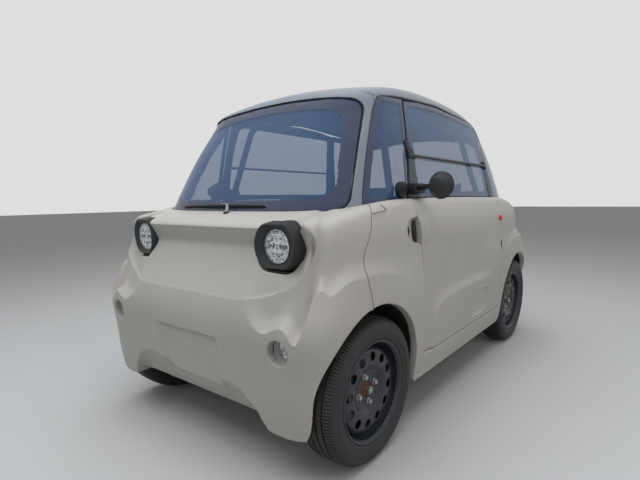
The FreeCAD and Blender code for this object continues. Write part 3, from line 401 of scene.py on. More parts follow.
def piece(name, shape, finish, body, slot, nodes=(), sharp=35, smooth_shade=True, marks=None):
    """One mesh of the scene, riding on its body and standing for its CAD nodes."""
    mesh = bpy.data.meshes.new(name)
    mesh.from_pydata([tuple(map(float, v)) for v in shape[0]], [], [tuple(map(int, f)) for f in shape[1]])
    mesh.validate()
    for item in finish if isinstance(finish, (list, tuple)) else [finish]:
        mesh.materials.append(item)
    if marks is not None:
        mesh.polygons.foreach_set("material_index", np.asarray(marks, np.int32))
    mesh.polygons.foreach_set("use_smooth", [smooth_shade] * len(mesh.polygons))
    if smooth_shade:
        mesh.set_sharp_from_angle(angle=math.radians(sharp))
    mesh.update()
    made = bpy.data.objects.new(name, mesh)
    bpy.context.scene.collection.objects.link(made)
    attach(made, body)
    if nodes:
        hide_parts(*([nodes] if isinstance(nodes, str) else nodes))
    return made


def turned(shape):
    """The same moulding at the other end of the car."""
    return np.asarray(shape[0]) * np.array([-1, -1, 1]), shape[1]


def flipped(shape):
    return shape[0], [tuple(reversed(face)) for face in shape[1]]


def mirrored(shape):
    return flipped((np.asarray(shape[0]) * np.array([-1, 1, 1]), shape[1]))


CAR, DOORS = ("car", "car"), ("left_door", "right_door")


def pair(name, shape, finish, bodies, slot, nodes=((), ()), tags=("_left", "_right"), copy=turned, **more):
    """A piece and its copy on the other side or at the other end."""
    for tag, body, replaced, form in zip(tags, bodies, nodes, (shape, copy(shape))):
        piece(name + tag, form, finish, body, slot, replaced, **more)


def joined(parts):
    """Several (verts, faces) as one."""
    verts, faces, start = [], [], 0
    for part_verts, part_faces in parts:
        verts.append(np.asarray(part_verts, float))
        faces += [tuple(i + start for i in face) for face in part_faces]
        start += len(part_verts)
    return np.concatenate(verts), faces


def triangles_within(outline, holes, lines, grid):
    """Triangles that fill an outline in the plane, with a grid of points and some lines as edges."""
    rings = [np.asarray(outline)] + [np.asarray(h) for h in holes]
    low, high = rings[0].min(0), rings[0].max(0)
    xs = np.arange(low[0] + grid / 2, high[0], grid)
    ys = np.arange(low[1] + grid / 2, high[1], grid)
    points = np.stack(np.meshgrid(xs, ys, indexing="ij"), -1).reshape(-1, 2)
    keep = inside(points, rings[0])
    for ring in rings:
        keep &= away(points, ring) > grid * 0.45
    for hole in rings[1:]:
        keep &= ~inside(points, hole)
    for path in lines:
        near = np.zeros(len(points), bool)
        near[keep] = away(points[keep], path, False) < grid * 0.4
        keep &= ~near
    points = points[keep]
    verts, edges, start = [], [], 0
    for ring in rings:
        verts.append(ring)
        edges += [(start + i, start + (i + 1) % len(ring)) for i in range(len(ring))]
        start += len(ring)
    for path in lines:
        verts.append(np.asarray(path))
        edges += [(start + i, start + i + 1) for i in range(len(path) - 1)]
        start += len(path)
    verts = np.concatenate(verts + [points])
    out, _, faces, origin, _, _ = delaunay_2d_cdt([Vector(v) for v in verts], edges, [], 0, 1e-7)
    out = np.array([tuple(v) for v in out])
    faces = np.array(faces)
    centres = out[faces].mean(1)
    good = inside(centres, rings[0])
    for hole in rings[1:]:
        good &= ~inside(centres, hole)
    border = []
    lookup = {}
    for new, olds in enumerate(origin):
        for old in olds:
            lookup[old] = new
    start = 0
    for ring in rings:
        border.append([lookup[start + i] for i in range(len(ring))])
        start += len(ring)
    return out, faces[good], border


def shell(surface, outline, depth, relief=None, holes=(), lines=(), grid=GRID, edge=EDGE, steps=3,
          back_grid=0.05, back=True):
    """A panel as a closed solid: its outer skin, rounded rims down to its depth and its inner skin.

    The outline and holes are closed loops of (s, v). Returns verts and faces."""

    def at(points, sunk=0.0):
        s, v = points[:, 0], points[:, 1]
        base = surface(s, v)
        normal = normals(surface, s, v)
        press = np.zeros(len(s)) if relief is None else relief(base[:, 0], base[:, 1], base[:, 2], s)
        return base - normal * (press + sunk)[:, None]

    step_length = grid * 0.9
    outer = resampled(outline, step_length, True)
    if area(outer) < 0:
        outer = outer[::-1]
    cuts = [resampled(h, min(step_length, 0.006), True) for h in holes]
    cuts = [c if area(c) > 0 else c[::-1] for c in cuts]
    inner_rings = [grown(outer, -edge)] + [grown(c, edge) for c in cuts]
    flat, faces, border = triangles_within(inner_rings[0], inner_rings[1:], lines, grid)
    verts = [at(flat)]
    count = len(flat)
    result = [tuple(face) for face in faces]
    rims, back_rings = [], []
    for index, ring in enumerate([outer] + cuts):
        sign = 1 if index == 0 else -1
        previous = border[index]
        size = len(previous)
        for k in list(range(1, steps + 1)) + ["foot"]:
            angle = np.pi / 2 if k == "foot" else np.pi / 2 * k / steps
            out = grown(inner_rings[index], sign * edge * math.sin(angle))
            sunk = depth if k == "foot" else edge * (1 - math.cos(angle))
            verts.append(at(out, sunk))
            current = list(range(count, count + size))
            count += size
            for i in range(size):
                j = (i + 1) % size
                quad = (previous[i], current[i], current[j], previous[j])
                result.append(quad if sign > 0 else quad[::-1])
            previous = current
        rims.append(previous)
        back_rings.append(grown(inner_rings[index], sign * edge))
    if back:
        flat, faces, border = triangles_within(back_rings[0], back_rings[1:], (), back_grid)
        lookup = {}
        for ring, rim in zip(border, rims):
            lookup.update(zip(ring, rim))
        inner = at(flat, depth)
        fresh = [i for i in range(len(flat)) if i not in lookup]
        for i in fresh:
            lookup[i] = count
            count += 1
        verts.append(inner[fresh])
        result += [tuple(lookup[i] for i in face[::-1]) for face in faces]
    return np.concatenate(verts), result


# Outlines of the panels

def ways(points, shape=None):
    """Side-view points (y, z) as (s, v), those above the shoulder on the deck."""
    points = np.asarray(points, float)
    return np.stack([side_way(points[:, 0], points[:, 1], shape or HULL), points[:, 1]], -1)


def arch_arc(start, stop, steps=40):
    """The rim of the front left wheel opening, by the angle from the rear in side view."""
    angles = np.linspace(math.radians(start), math.radians(stop), steps)
    return [(-AXLE + ARCH_RADIUS * math.cos(a), ARCH_HEIGHT + ARCH_RADIUS * math.sin(a)) for a in angles]


SEAM_LINE = spline([(0.608, -0.9050), (0.670, -0.9105), (0.725, -0.9160), (0.750, -0.9135), (0.770, -0.9095),
                    (0.790, -0.9035), (0.826, -0.8835), (0.860, -0.8645), (0.900, -0.8455), (0.933, -0.8300)])


def seam_ways(gap):
    """The joint between nose and fender, from the wheel opening up and in over the deck."""
    heights = np.linspace(0.6085, 0.925, 24)
    rising = ways([(SEAM_LINE(z) + gap, z) for z in heights])
    last = rising[-1]
    top = glass_line(last[0]) - 0.002
    over = [(last[0], v) for v in np.linspace(last[1] + 0.012, top, 8)]
    return np.concatenate([rising, over])


def top_ways(start, stop, tuck=0.0):
    steps = max(4, int(abs(stop - start) / 0.03))
    s = np.linspace(start, stop, steps)
    return np.stack([s, glass_line(s) - 0.002 - tuck], -1)


def mirror_ways(points):
    return np.asarray(points)[::-1] * np.array([-1, 1])


def nose_outline():
    foot = [(0.0, 0.203), (0.370, 0.203), (0.420, 0.200), (0.457, 0.194), (0.524, 0.192), (0.595, 0.198)]
    bottom = [(float(end_way(x, z, HULL)), z) for x, z in foot]
    rise = [(-1.1600, 0.232), (-1.1602, 0.270)] + arch_arc(180, 98, 40)
    seam = seam_ways(-SHUT_LINE)
    top = top_ways(seam[-1][0], 0.0)[1:-1]
    half = np.concatenate([bottom, ways(rise), seam, top])
    middle = np.array([[0.0, glass_line(np.array(0.0)) - 0.002]])
    return np.concatenate([half, middle, mirror_ways(half)[:-1]])


LAMP_X, LAMP_Z = 0.419, 0.826
LAMP_WIDE, LAMP_TALL = 0.180, 0.155
LOW_LAMP_X, LOW_LAMP_Z, LOW_LAMP_HOLE = 0.513, 0.497, 0.0435


def round_steps(count):
    """Evenly spaced angles, once round."""
    return [2 * math.pi * k / count for k in range(count)]


def cut_circle(wide, tall, power, count):
    """A circle cut flat above and below, its corners eased."""
    points = []
    for angle in round_steps(count):
        x, z = wide * math.cos(angle), wide * math.sin(angle)
        points.append((x, z / ((abs(z) / tall) ** power + 1) ** (1 / power)))
    return np.array(points)


def lamp_loop(grow=0.0):
    """Front outline of a lamp housing."""
    return cut_circle(LAMP_WIDE / 2 + grow, LAMP_TALL / 2 + grow, 12, 64)


def front_loop(loop, centre_x, centre_z):
    """A loop seen from the front, laid on the nose as (s, v)."""
    x, z = loop[:, 0] + centre_x, loop[:, 1] + centre_z
    return np.stack([end_way(x, z, HULL), z], -1)


def ring_loop(radius, count=40):
    angles = np.linspace(0, 2 * np.pi, count, endpoint=False)
    return np.stack([radius * np.cos(angles), radius * np.sin(angles)], -1)


def nose_lines():
    """Rows of points along the creases of the nose."""
    rows = []
    for inset in (0.0005, 0.0035, 0.0075, 0.0110):
        loop = grown(MASK, -inset)
        loop = resampled(loop[loop[:, 1] < 0.880], 0.008)
        rows.append(np.stack([end_way(loop[:, 0], loop[:, 1], HULL), loop[:, 1]], -1))
    for height, reach in ((0.812, 0.545), (0.820, 0.550), (0.829, 0.550), (0.837, 0.550), (0.880, 0.560)):
        x = np.arange(-reach, reach, 0.008)
        rows.append(np.stack([end_way(x, np.full(len(x), height), HULL), np.full(len(x), height)], -1))
    s = np.arange(ledge_ways[0] + 0.004, ledge_ways[-1] - 0.01, 0.008)
    low_seam = side_way(-SEAM - 0.012, 0.72, HULL)
    for over in (0.0, 0.008, 0.018, 0.034, 0.062):
        row = np.stack([s, LEDGE(s) + over], -1)
        row = row[row[:, 0] < low_seam - 0.012]
        rows += [row, mirror_ways(row)]
    for across in (PLATE_HALF, PLATE_HALF - 0.007):
        rows.append(np.array([(across, z) for z in np.arange(0.215, 0.49, 0.008)]))
    for up in (PLATE_TOP, PLATE_TOP - 0.005):
        rows.append(np.array([(x, up) for x in np.arange(-0.19, 0.2, 0.008)]))
    return rows


def lamp_flare(y):
    """How much wider the lamp housing is at y than at its front."""
    return 0.010 * np.clip((np.asarray(y) + 1.105) / 0.060, 0, 1.2)


def lamp_hole():
    """The nose's opening round a lamp housing, with the width that the housing has there."""
    loop = lamp_loop(0.0)
    for _ in range(3):
        flat = front_loop(loop, LAMP_X, LAMP_Z)
        skin = tub(flat[:, 0], flat[:, 1])
        deep = nose_relief(skin[:, 0], skin[:, 1], skin[:, 2], flat[:, 0])
        wide = lamp_flare(skin[:, 1] + deep) + 0.0008
        loop = lamp_loop(0.0) * (1 + wide / (LAMP_WIDE / 2))[:, None]
    return loop


LAMP_LOOP = lamp_hole()
nose_holes = []
for side in (1, -1):
    nose_holes.append(front_loop(LAMP_LOOP * [side, 1], side * LAMP_X, LAMP_Z))
    nose_holes.append(front_loop(ring_loop(LOW_LAMP_HOLE) * [side, 1], side * LOW_LAMP_X, LOW_LAMP_Z))


WAIST = BELT - 0.060


def to_rear(points):
    """A line (s, v) of the left side's front half, at its rear half and in the other order."""
    points = np.asarray(points)[::-1].copy()
    points[:, 0] = 2 * QUARTER - points[:, 0]
    return points


def side_outline():
    """One moulding from the nose seam to the tail seam, passing under the door."""
    front_seam = seam_ways(SHUT_LINE)
    gap = 0.004
    low_y, belt_y, base = DOOR_LOW + gap, DOOR_BELT + gap, DOOR_BASE - gap
    door_front = ways([(-low_y - (belt_y - low_y) * (z - base) / (WAIST - base), z)
                       for z in np.linspace(WAIST, base + 0.012, 40)])
    over_s = door_front[0][0]
    over = [(over_s, v) for v in np.linspace(glass_line(over_s) - 0.002, WAIST + 0.012, 9)]
    belt_row = top_ways(front_seam[-1][0], over_s)[1:-1]
    under = ways([(-low_y + 0.004, base + 0.004), (-low_y + 0.012, base)])
    half_top = np.concatenate([front_seam, belt_row, over, door_front, under])
    arch = ways(arch_arc(97, 0, 40) + [(-AXLE + ARCH_RADIUS, 0.27), (-AXLE + ARCH_RADIUS, 0.222),
                                       (-AXLE + ARCH_RADIUS + 0.02, 0.202)])
    return np.concatenate([half_top, to_rear(half_top), to_rear(arch[::-1]), arch[::-1]])


def side_lines():
    rows = []
    s_all = np.arange(side_way(-SEAM + 0.006, 0.72, HULL) + 0.004, ledge_ways[-1] - 0.02, 0.008)
    for over in (0.0, 0.008, 0.018, 0.034, 0.062):
        row = np.stack([s_all, LEDGE(s_all) + over], -1)
        rows += [row, to_rear(row)]
    for inset in (0.0, 0.006, 0.012):
        rows.append(ways(resampled(cup_arc(inset, 97, 263), 0.005)))
    return rows


CUP_Y, CUP_Z, CUP_LONG, CUP_TALL = -0.534, 0.852, 0.100, 0.056


def cup_arc(inset=0.0, start=93, stop=267):
    """Rim of the hand recess beside the door's leading edge, open towards the door."""
    angles = np.radians(np.linspace(start, stop, 40))
    across, up = np.abs(np.cos(angles)) ** 0.8, np.sign(np.sin(angles)) * np.abs(np.sin(angles)) ** 0.8
    return np.stack([CUP_Y - (CUP_LONG - inset) * across, CUP_Z + (CUP_TALL - inset) * up], -1)


def cup_depth(y, z):
    points = np.stack([y, z], -1)
    arc = cup_arc(0.0, 90, 270)
    loop = np.concatenate([[[-0.500, CUP_Z + CUP_TALL]], arc, [[-0.500, CUP_Z - CUP_TALL]]])
    deep = away(points, arc, False) * np.where(inside(points, loop), 1, 0)
    return 0.024 * smooth(deep / 0.010)


def side_ledge(x, y, z, s):
    """Scoops above both wheels of one side, and the hand recess ahead of the door."""
    way = np.abs(s)
    return ledge_relief(x, y, z, np.where(way > QUARTER, 2 * QUARTER - way, way)) + cup_depth(y, z)


def door_skin_outline():
    front = ways([(-DOOR_LOW - (DOOR_BELT - DOOR_LOW) * (z - DOOR_BASE) / (WAIST - DOOR_BASE), z)
                  for z in np.linspace(DOOR_BASE + 0.014, WAIST, 40)])
    s_front = front[-1][0]
    over = [(s_front, v) for v in np.linspace(WAIST + 0.012, glass_line(s_front) - 0.002, 9)]
    half = np.concatenate([front, over])
    rear = to_rear(half)
    top = top_ways(half[-1][0], rear[0][0])[1:-1]
    base = ways([(DOOR_LOW - 0.004, DOOR_BASE + 0.004), (DOOR_LOW - 0.014, DOOR_BASE),
                 (-DOOR_LOW + 0.014, DOOR_BASE), (-DOOR_LOW + 0.004, DOOR_BASE + 0.004)])
    return np.concatenate([half, top, rear, base])


DOOR_WAY = rounded([(-0.405, 0.250), (-0.398, 0.480), (-0.330, 0.527), (-0.100, 0.540), (0.160, 0.543),
                    (0.800, 0.545), (0.800, 0.250)], 0.075, 9)
POCKET = rounded([(0.028, 0.350), (0.034, 0.449), (0.150, 0.490), (0.298, 0.477), (0.290, 0.400),
                  (0.240, 0.350)], 0.045, 7)


def door_relief(x, y, z, s):
    """The flare that starts on the door: all above and ahead of its crease is pressed in."""
    points = np.stack([y, z], -1)
    loop = np.array(DOOR_WAY)
    over = np.where(inside(points, loop), 0, away(points, loop))
    rise = np.sin(np.pi / 2 * np.clip(over / 0.050, 0, 1))
    fade = 1 - smooth((over - 0.050) / 0.230)
    along = smooth((0.420 - y) / 0.300)
    pocket = np.array(POCKET)
    deep = away(points, pocket) * np.where(inside(points, pocket), 1, 0)
    grip = smooth((z - 0.790) / 0.030) * smooth((0.905 - z) / 0.030) * smooth((-0.445 - y) / 0.045)
    return 0.013 * rise * fade * along + 0.005 * smooth(deep / 0.006) - 0.004 * grip


def door_lines():
    rows = []
    for out in (0.0, 0.008, 0.018, 0.034, 0.050):
        loop = grown(np.array(DOOR_WAY), out)
        loop = resampled(loop, 0.008, True)
        loop = loop[(loop[:, 1] > 0.335) & (loop[:, 0] < 0.40) & (loop[:, 0] > -0.47)]
        start = np.argmin(loop[:, 1] + (loop[:, 0] > 0) * 9)
        loop = np.roll(loop, -start, 0)
        if loop[1][1] < loop[0][1]:
            loop = loop[::-1]
        rows.append(ways(loop))
    for inset in (0.0, 0.006):
        loop = resampled(grown(np.array(POCKET), -inset), 0.007, True)
        rows.append(ways(np.concatenate([loop, loop[:1]])))
    return rows


# Materials

def fill(tree, made, values):
    """Set a node's values and its sockets by name or number, linking a socket that is given an output."""
    sockets = [key for key in values if not isinstance(key, str) or key in made.inputs]
    for key in values:
        if key not in sockets:
            setattr(made, key, values[key])
    for key in sockets:
        if isinstance(values[key], bpy.types.NodeSocket):
            tree.links.new(values[key], made.inputs[key])
        else:
            made.inputs[key].default_value = values[key]
    return made


def node(tree, kind, sockets=(), **values):
    return fill(tree, tree.nodes.new("ShaderNode" + kind), {**values, **dict(sockets)})


def srgb(*values):
    """A colour given as it looks, 0 to 255, as Blender's linear colour."""
    linear = [v / 255 / 12.92 if v / 255 <= 0.04045 else ((v / 255 + 0.055) / 1.055) ** 2.4 for v in values]
    return tuple(linear) + (1.0,)


def ramp(tree, factor, low, high):
    """A colour ramp between two stops of a place and a colour."""
    made = node(tree, "ValToRGB", Fac=factor)
    for stop, (place, colour) in zip(made.color_ramp.elements, (low, high)):
        stop.position, stop.color = place, colour
    return made.outputs["Color"]


def between(tree, factor, low, high):
    return node(tree, "MapRange", {"Value": factor, "To Min": low, "To Max": high}).outputs["Result"]


def new_material(name):
    """A material, its nodes and the place on the object."""
    made = bpy.data.materials.new(name)
    made.use_nodes = True
    return made, made.node_tree, node(made.node_tree, "TexCoord").outputs["Object"]


def moulded(name, light, dark, roughness, grain=0.0, grain_size=0.0015, mottle=0.05, metallic=0.0, coat=0.0,
            spread=0.06, specular=0.5, worn=None):
    """A moulded, painted or rubbery finish: two close tones, uneven gloss and a fine grain."""
    made, tree, place = new_material(name)
    cloud = node(tree, "TexNoise", Vector=place, Scale=1 / mottle, Detail=4.0, Roughness=0.6).outputs["Fac"]
    colour = ramp(tree, cloud, (0.3, srgb(*dark)), (0.7, srgb(*light)))
    if worn:
        edges = node(tree, "NewGeometry").outputs["Pointiness"]
        wear = ramp(tree, edges, (0.54, srgb(0, 0, 0)), (0.66, srgb(255, 255, 255)))
        colour = node(tree, "Mix", {"Factor": wear, "A": colour, "B": srgb(*worn)},
                      data_type="RGBA").outputs["Result"]
    shader = fill(tree, tree.nodes["Principled BSDF"], {
        "Metallic": metallic, "Coat Weight": coat, "Coat Roughness": 0.2, "Specular IOR Level": specular,
        "Base Color": colour,
        "Roughness": between(tree, cloud, max(0.0, roughness - spread), min(1.0, roughness + spread))})
    if grain:
        fine = node(tree, "TexNoise", Vector=place, Scale=1 / grain_size, Detail=3.0, Roughness=0.7)
        bump = node(tree, "Bump", Height=fine.outputs["Fac"], Strength=grain, Distance=grain_size)
        fill(tree, shader, {"Normal": bump.outputs["Normal"]})
    return made


def clarity(tree, see):
    """See-through face on, and rising late to a mirror along the surface."""
    facing = node(tree, "LayerWeight", Blend=0.5).outputs["Facing"]
    grazing = node(tree, "Math", {0: facing, 1: 3.5}, operation="POWER").outputs[0]
    return between(tree, grazing, 1 - see, 1.0)


def glass(name, tint, see):
    """Glass of the given colour with a trace of dust. For the windows that colour is their own tint with a
    painted blue sky reflection in it.
    """
    made, tree, place = new_material(name)
    cloud = node(tree, "TexNoise", Vector=place, Scale=6.0, Detail=2.0).outputs["Fac"]
    dusty = node(tree, "Math", {0: cloud, 1: 0.03, 2: clarity(tree, see)}, operation="MULTIPLY_ADD").outputs[0]
    fill(tree, tree.nodes["Principled BSDF"], {
        "Base Color": srgb(*tint), "Roughness": 0.03, "Specular IOR Level": 0.8, "Coat Weight": 0.25,
        "Coat Roughness": 0.02, "Alpha": dusty})
    return made


def clear_cover(name, tint, see):
    """A clear moulded cover with fluting."""
    made, tree, place = new_material(name)
    flutes = node(tree, "TexVoronoi", Vector=place, Scale=140.0).outputs["Distance"]
    bump = node(tree, "Bump", Height=flutes, Strength=0.25, Distance=0.0008)
    fill(tree, tree.nodes["Principled BSDF"], {
        "Base Color": srgb(*tint), "Roughness": 0.05, "Coat Weight": 0.5, "Normal": bump.outputs["Normal"],
        "Alpha": clarity(tree, see)})
    return made


PAINT = moulded("body_paint", (166, 162, 156), (160, 156, 150), 0.46, 0.10, 0.0012, 0.35, specular=0.45)
HOOP_PAINT = moulded("hoop_paint", (118, 124, 132), (110, 116, 124), 0.34, 0.06, mottle=0.3)
ROOF = moulded("roof_plastic", (124, 130, 136), (116, 122, 128), 0.30, 0.10, 0.001, 0.25, metallic=0.15)
BLACK = moulded("black_plastic", (26, 27, 29), (20, 21, 23), 0.55, 0.25, 0.001)
# The window glass's blue is partly its own tint and partly a painted reflection of the sky.
GLASS_TINT_AND_SKY = glass("window_glass", (66, 100, 142), 0.72)
FRIT = moulded("blacked_edge", (52, 60, 84), (46, 54, 76), 0.10, mottle=0.3, coat=0.1, spread=0.02)
SEAL = moulded("rubber_seal", (17, 17, 18), (11, 11, 12), 0.6, 0.2, 0.0008)
GREY_TRIM = moulded("grey_trim", (58, 61, 64), (50, 53, 56), 0.42, 0.15, 0.0008)
GRAINED = moulded("grained_plastic", (38, 40, 42), (30, 32, 34), 0.5, 0.45, 0.0012, 0.08)
RED_CAP = moulded("red_cap", (196, 34, 36), (176, 24, 28), 0.25, coat=0.5)
SILVER = moulded("mirror_silver", (214, 218, 222), (206, 210, 214), 0.03, mottle=0.4, metallic=1.0, spread=0.01)
LENS_RIM = moulded("bright_reflector", (226, 229, 232), (205, 208, 212), 0.14, mottle=0.01, metallic=1.0,
                   spread=0.05)
ZINC = moulded("zinc", (196, 196, 192), (164, 164, 160), 0.3, 0.2, 0.0006, 0.01, metallic=0.9)
RUST = moulded("rusty_hub", (126, 66, 40), (84, 44, 28), 0.7, 0.5, 0.0008, 0.012, metallic=0.3)
DISC = moulded("wheel_black", (38, 41, 47), (30, 33, 38), 0.33, 0.08, 0.0008, 0.06, coat=0.15)
RUBBER = moulded("tyre_rubber", (44, 44, 45), (34, 34, 35), 0.60, 0.30, 0.0009, 0.03, worn=(64, 62, 58))
LIGHT_TRIM = moulded("lamp_ring", (176, 176, 174), (164, 164, 162), 0.3, 0.05)
LENS_GREY = moulded("reflector_grey", (176, 180, 184), (140, 144, 150), 0.2, mottle=0.01, metallic=0.5)
LENS_DARK = moulded("reflector_dark", (52, 55, 60), (36, 38, 42), 0.25, mottle=0.01)
LENS_WHITE = moulded("reflector_white", (240, 242, 244), (222, 225, 228), 0.25, mottle=0.01, metallic=0.15)
LENS_RED = moulded("red_reflector", (168, 26, 28), (120, 14, 18), 0.2, mottle=0.01, metallic=0.7)
CLEAR = clear_cover("clear_cover", (232, 236, 240), 0.86)
RED_CLEAR = clear_cover("red_cover", (190, 20, 26), 0.55)
CLOTH = moulded("seat_cloth", (70, 74, 80), (56, 60, 66), 0.85, 0.6, 0.0016, 0.10)
SHELL = moulded("seat_shell", (42, 44, 47), (34, 36, 39), 0.45, 0.3, 0.0012)
FRAME = moulded("frame_paint", (30, 31, 34), (22, 23, 26), 0.4, 0.15, coat=0.2, worn=(70, 66, 62))
CAST = moulded("raw_casting", (150, 150, 150), (116, 117, 118), 0.45, 0.4, 0.0012, metallic=0.85)
CELLS = moulded("battery_case", (58, 64, 72), (46, 51, 58), 0.5, 0.35, 0.0015)
STEEL = moulded("machined_steel", (150, 152, 154), (120, 122, 125), 0.3, 0.15, mottle=0.02, metallic=0.95)


# Tub panels

PANEL_WALL, DOOR_WALL = 0.030, 0.045
SIDE_NODES = ["fenders_front", "fenders_rear", "sills"]
nose = shell(tub, nose_outline(), PANEL_WALL, nose_relief, nose_holes, nose_lines())
pair("", nose, PAINT, CAR, "body_paint", ("front_panel", "rear_panel"), ("nose_moulding", "tail_moulding"))
side_moulding = shell(tub, side_outline(), PANEL_WALL, side_ledge, [], side_lines())
pair("side_moulding", side_moulding, PAINT, CAR, "body_paint", (SIDE_NODES, SIDE_NODES))
door_skin = shell(tub, door_skin_outline(), DOOR_WALL, door_relief, [], door_lines())
pair("door_skin", door_skin, PAINT, DOORS, "body_paint", ("door_left", "door_right"))


# Greenhouse skin: up the side, round the edge and in over the roof's crown

ROOF_SPAN, ROOF_LEVEL = 0.46, 1.44


def crown_at(x, y):
    """Height of the roof: it falls towards both ends and a little towards the sides."""
    return CROWN(y) - 0.040 * np.minimum(np.abs(x) / 0.45, 1.2) ** 2


roof_edge = top_edge(crown_at, 1.46, CABIN)


def roof_radius(s):
    """The header is crisp, the roof's long edges are round."""
    return 0.014 + 0.036 * smooth((from_end(s) - 0.55) / 0.35)


def greenhouse(s, v, inset=0.0):
    """Point of the greenhouse: v is the height, and beyond the edge the way in over the roof."""
    s, v = np.asarray(s, float), np.asarray(v, float)
    top = roof_edge(s)

    def on_side(z):
        x, y = round_at(s, z, CABIN, inset)
        return np.stack([x, y, z + 0 * x], -1)

    def on_roof(way):
        x, y = round_at(s, top, CABIN, inset)
        share = 1 - way / ROOF_SPAN
        return np.stack([x * share, y * share, crown_at(x * share, y * share) - inset], -1)

    return over_edge(v, top, roof_radius(s), on_side, on_roof)


def roof_plane(s, v):
    """The roof laid flat, its middle at the origin, so that one outline goes all the way round."""
    x, y = round_at(s, ROOF_LEVEL, CABIN)
    share = 1 - (np.asarray(v) - roof_edge(s)) / ROOF_SPAN
    return np.stack([x * share, y * share], -1)


def roof_skin(x, y):
    s = way_of(x, y, ROOF_LEVEL, CABIN)
    edge_x, edge_y = round_at(s, ROOF_LEVEL, CABIN)
    share = np.hypot(x, y) / np.hypot(edge_x, edge_y)
    return greenhouse(s, roof_edge(s) + ROOF_SPAN * (1 - share))


HEADER_SEAM, HEADER_CORNER, SEAM_FOOT = 0.590, 0.560, 0.574
HOOP_LOW, HOOP_HIGH = 0.788, 0.550


def hoop_edge(z):
    """How far forward the side glass reaches at a height."""
    share = (z - BELT) / (GLASS_TOP - BELT)
    return HOOP_LOW + (HOOP_HIGH - HOOP_LOW) * share + 0.072 * share * (1 - share)


def header_way(s):
    """Where the roof's seam crosses the crown behind the header."""
    top = roof_edge(s)
    y = np.abs(round_at(s, top, CABIN)[1])
    return top + ROOF_SPAN * (1 - HEADER_SEAM / y)


def side_ways(points):
    """Side-view points (y, z) of the greenhouse as (s, v)."""
    return ways(points, CABIN)


s_corner = float(side_way(-HEADER_CORNER, 1.425, CABIN)) - 0.010


def corner_rise(steps=8):
    """The seam between hoop and roof, from the glass up round the corner of the roof."""
    foot = side_ways([(-SEAM_FOOT, 1.358), (-0.567, 1.376), (-HEADER_CORNER, 1.390)])
    last = np.array([s_corner, float(header_way(np.array(s_corner)))])
    t = np.linspace(0, 1, steps + 2)[1:-1, None]
    return np.concatenate([foot, foot[-1] * (1 - t) + last * t, last[None]])


def header_seam():
    s = np.linspace(s_corner, -s_corner, 50)
    return np.stack([s, header_way(s)], -1)[1:-1]


def roof_top_edge(steps=40):
    """The roof's edge over the door glass."""
    y = np.linspace(-SEAM_FOOT, SEAM_FOOT, steps)
    line_z = np.interp(np.abs(y), [0, DOOR_LEAD + 0.012, 0.535, SEAM_FOOT], [1.437, 1.4150, 1.3960, 1.358])
    return side_ways(np.stack([y, line_z], -1))[1:-1]


def screen_points(shrink):
    low, top = SCREEN_LOW_HALF - shrink, SCREEN_TOP_HALF - shrink
    base, head = COWL + 0.006, GLASS_TOP + 0.006
    return [(-low, base + shrink + 0.008), (0, base + shrink - 0.004), (low, base + shrink + 0.008),
            (top, head - shrink - 0.038), (0, head - shrink), (-top, head - shrink - 0.038)]


def arc(start, control, stop, count):
    """A curve from start to stop that leaves and arrives towards its control point."""
    return [(1 - t) ** 2 * start + 2 * t * (1 - t) * control + t * t * stop for t in np.linspace(0, 1, count)]


def bowed(points):
    """The outline's long lower and upper edges as arcs through their middle points."""
    a, b, c, d, e, f = (np.array(p) for p in points)
    return [tuple(p) for start, middle, stop in ((a, b, c), (d, e, f))
            for p in arc(start, 2 * middle - (start + stop) / 2, stop, 10)]


def screen_loop(shrink, radius):
    corners = bowed(screen_points(shrink))
    loop = []
    for index, corner in enumerate(corners):
        before, after = corners[index - 1], corners[(index + 1) % len(corners)]
        if index in (0, 9, 10, 19):
            corner = np.array(corner)
            ends = [corner + (np.array(o) - corner) / math.dist(o, corner) * radius for o in (before, after)]
            loop += arc(ends[0], corner, ends[1], 9)
        elif min(math.dist(corner, corners[i]) for i in (0, 9, 10, 19)) > radius:
            loop.append(np.array(corner))
    return np.array(loop)


def screen_ways(loop):
    """Front-view points (x, z) of the greenhouse as (s, v)."""
    return np.stack([end_way(loop[:, 0], loop[:, 1], CABIN), loop[:, 1]], -1)


def pane(outline, clear):
    """A glass pane flush with the skin, and for each face 0 where it is clear or 1 where it is blacked out."""
    clear = resampled(np.asarray(clear, float), 0.012, True)
    skin = lambda s, v: cabin(s, v, GLASS_INSET)
    rim = np.concatenate([clear, clear[:1]])
    verts, faces = shell(skin, outline, GLASS_WALL, None, [], [rim], 0.022, 0.0015, 2, 0.022)
    middles = np.array([[verts[i] for i in face[:3]] for face in faces]).mean(1)
    s = way_of(middles[:, 0], middles[:, 1], middles[:, 2], CABIN)
    marks = 1 - inside(np.stack([s, middles[:, 2]], -1), clear).astype(int)
    return (verts, faces), marks


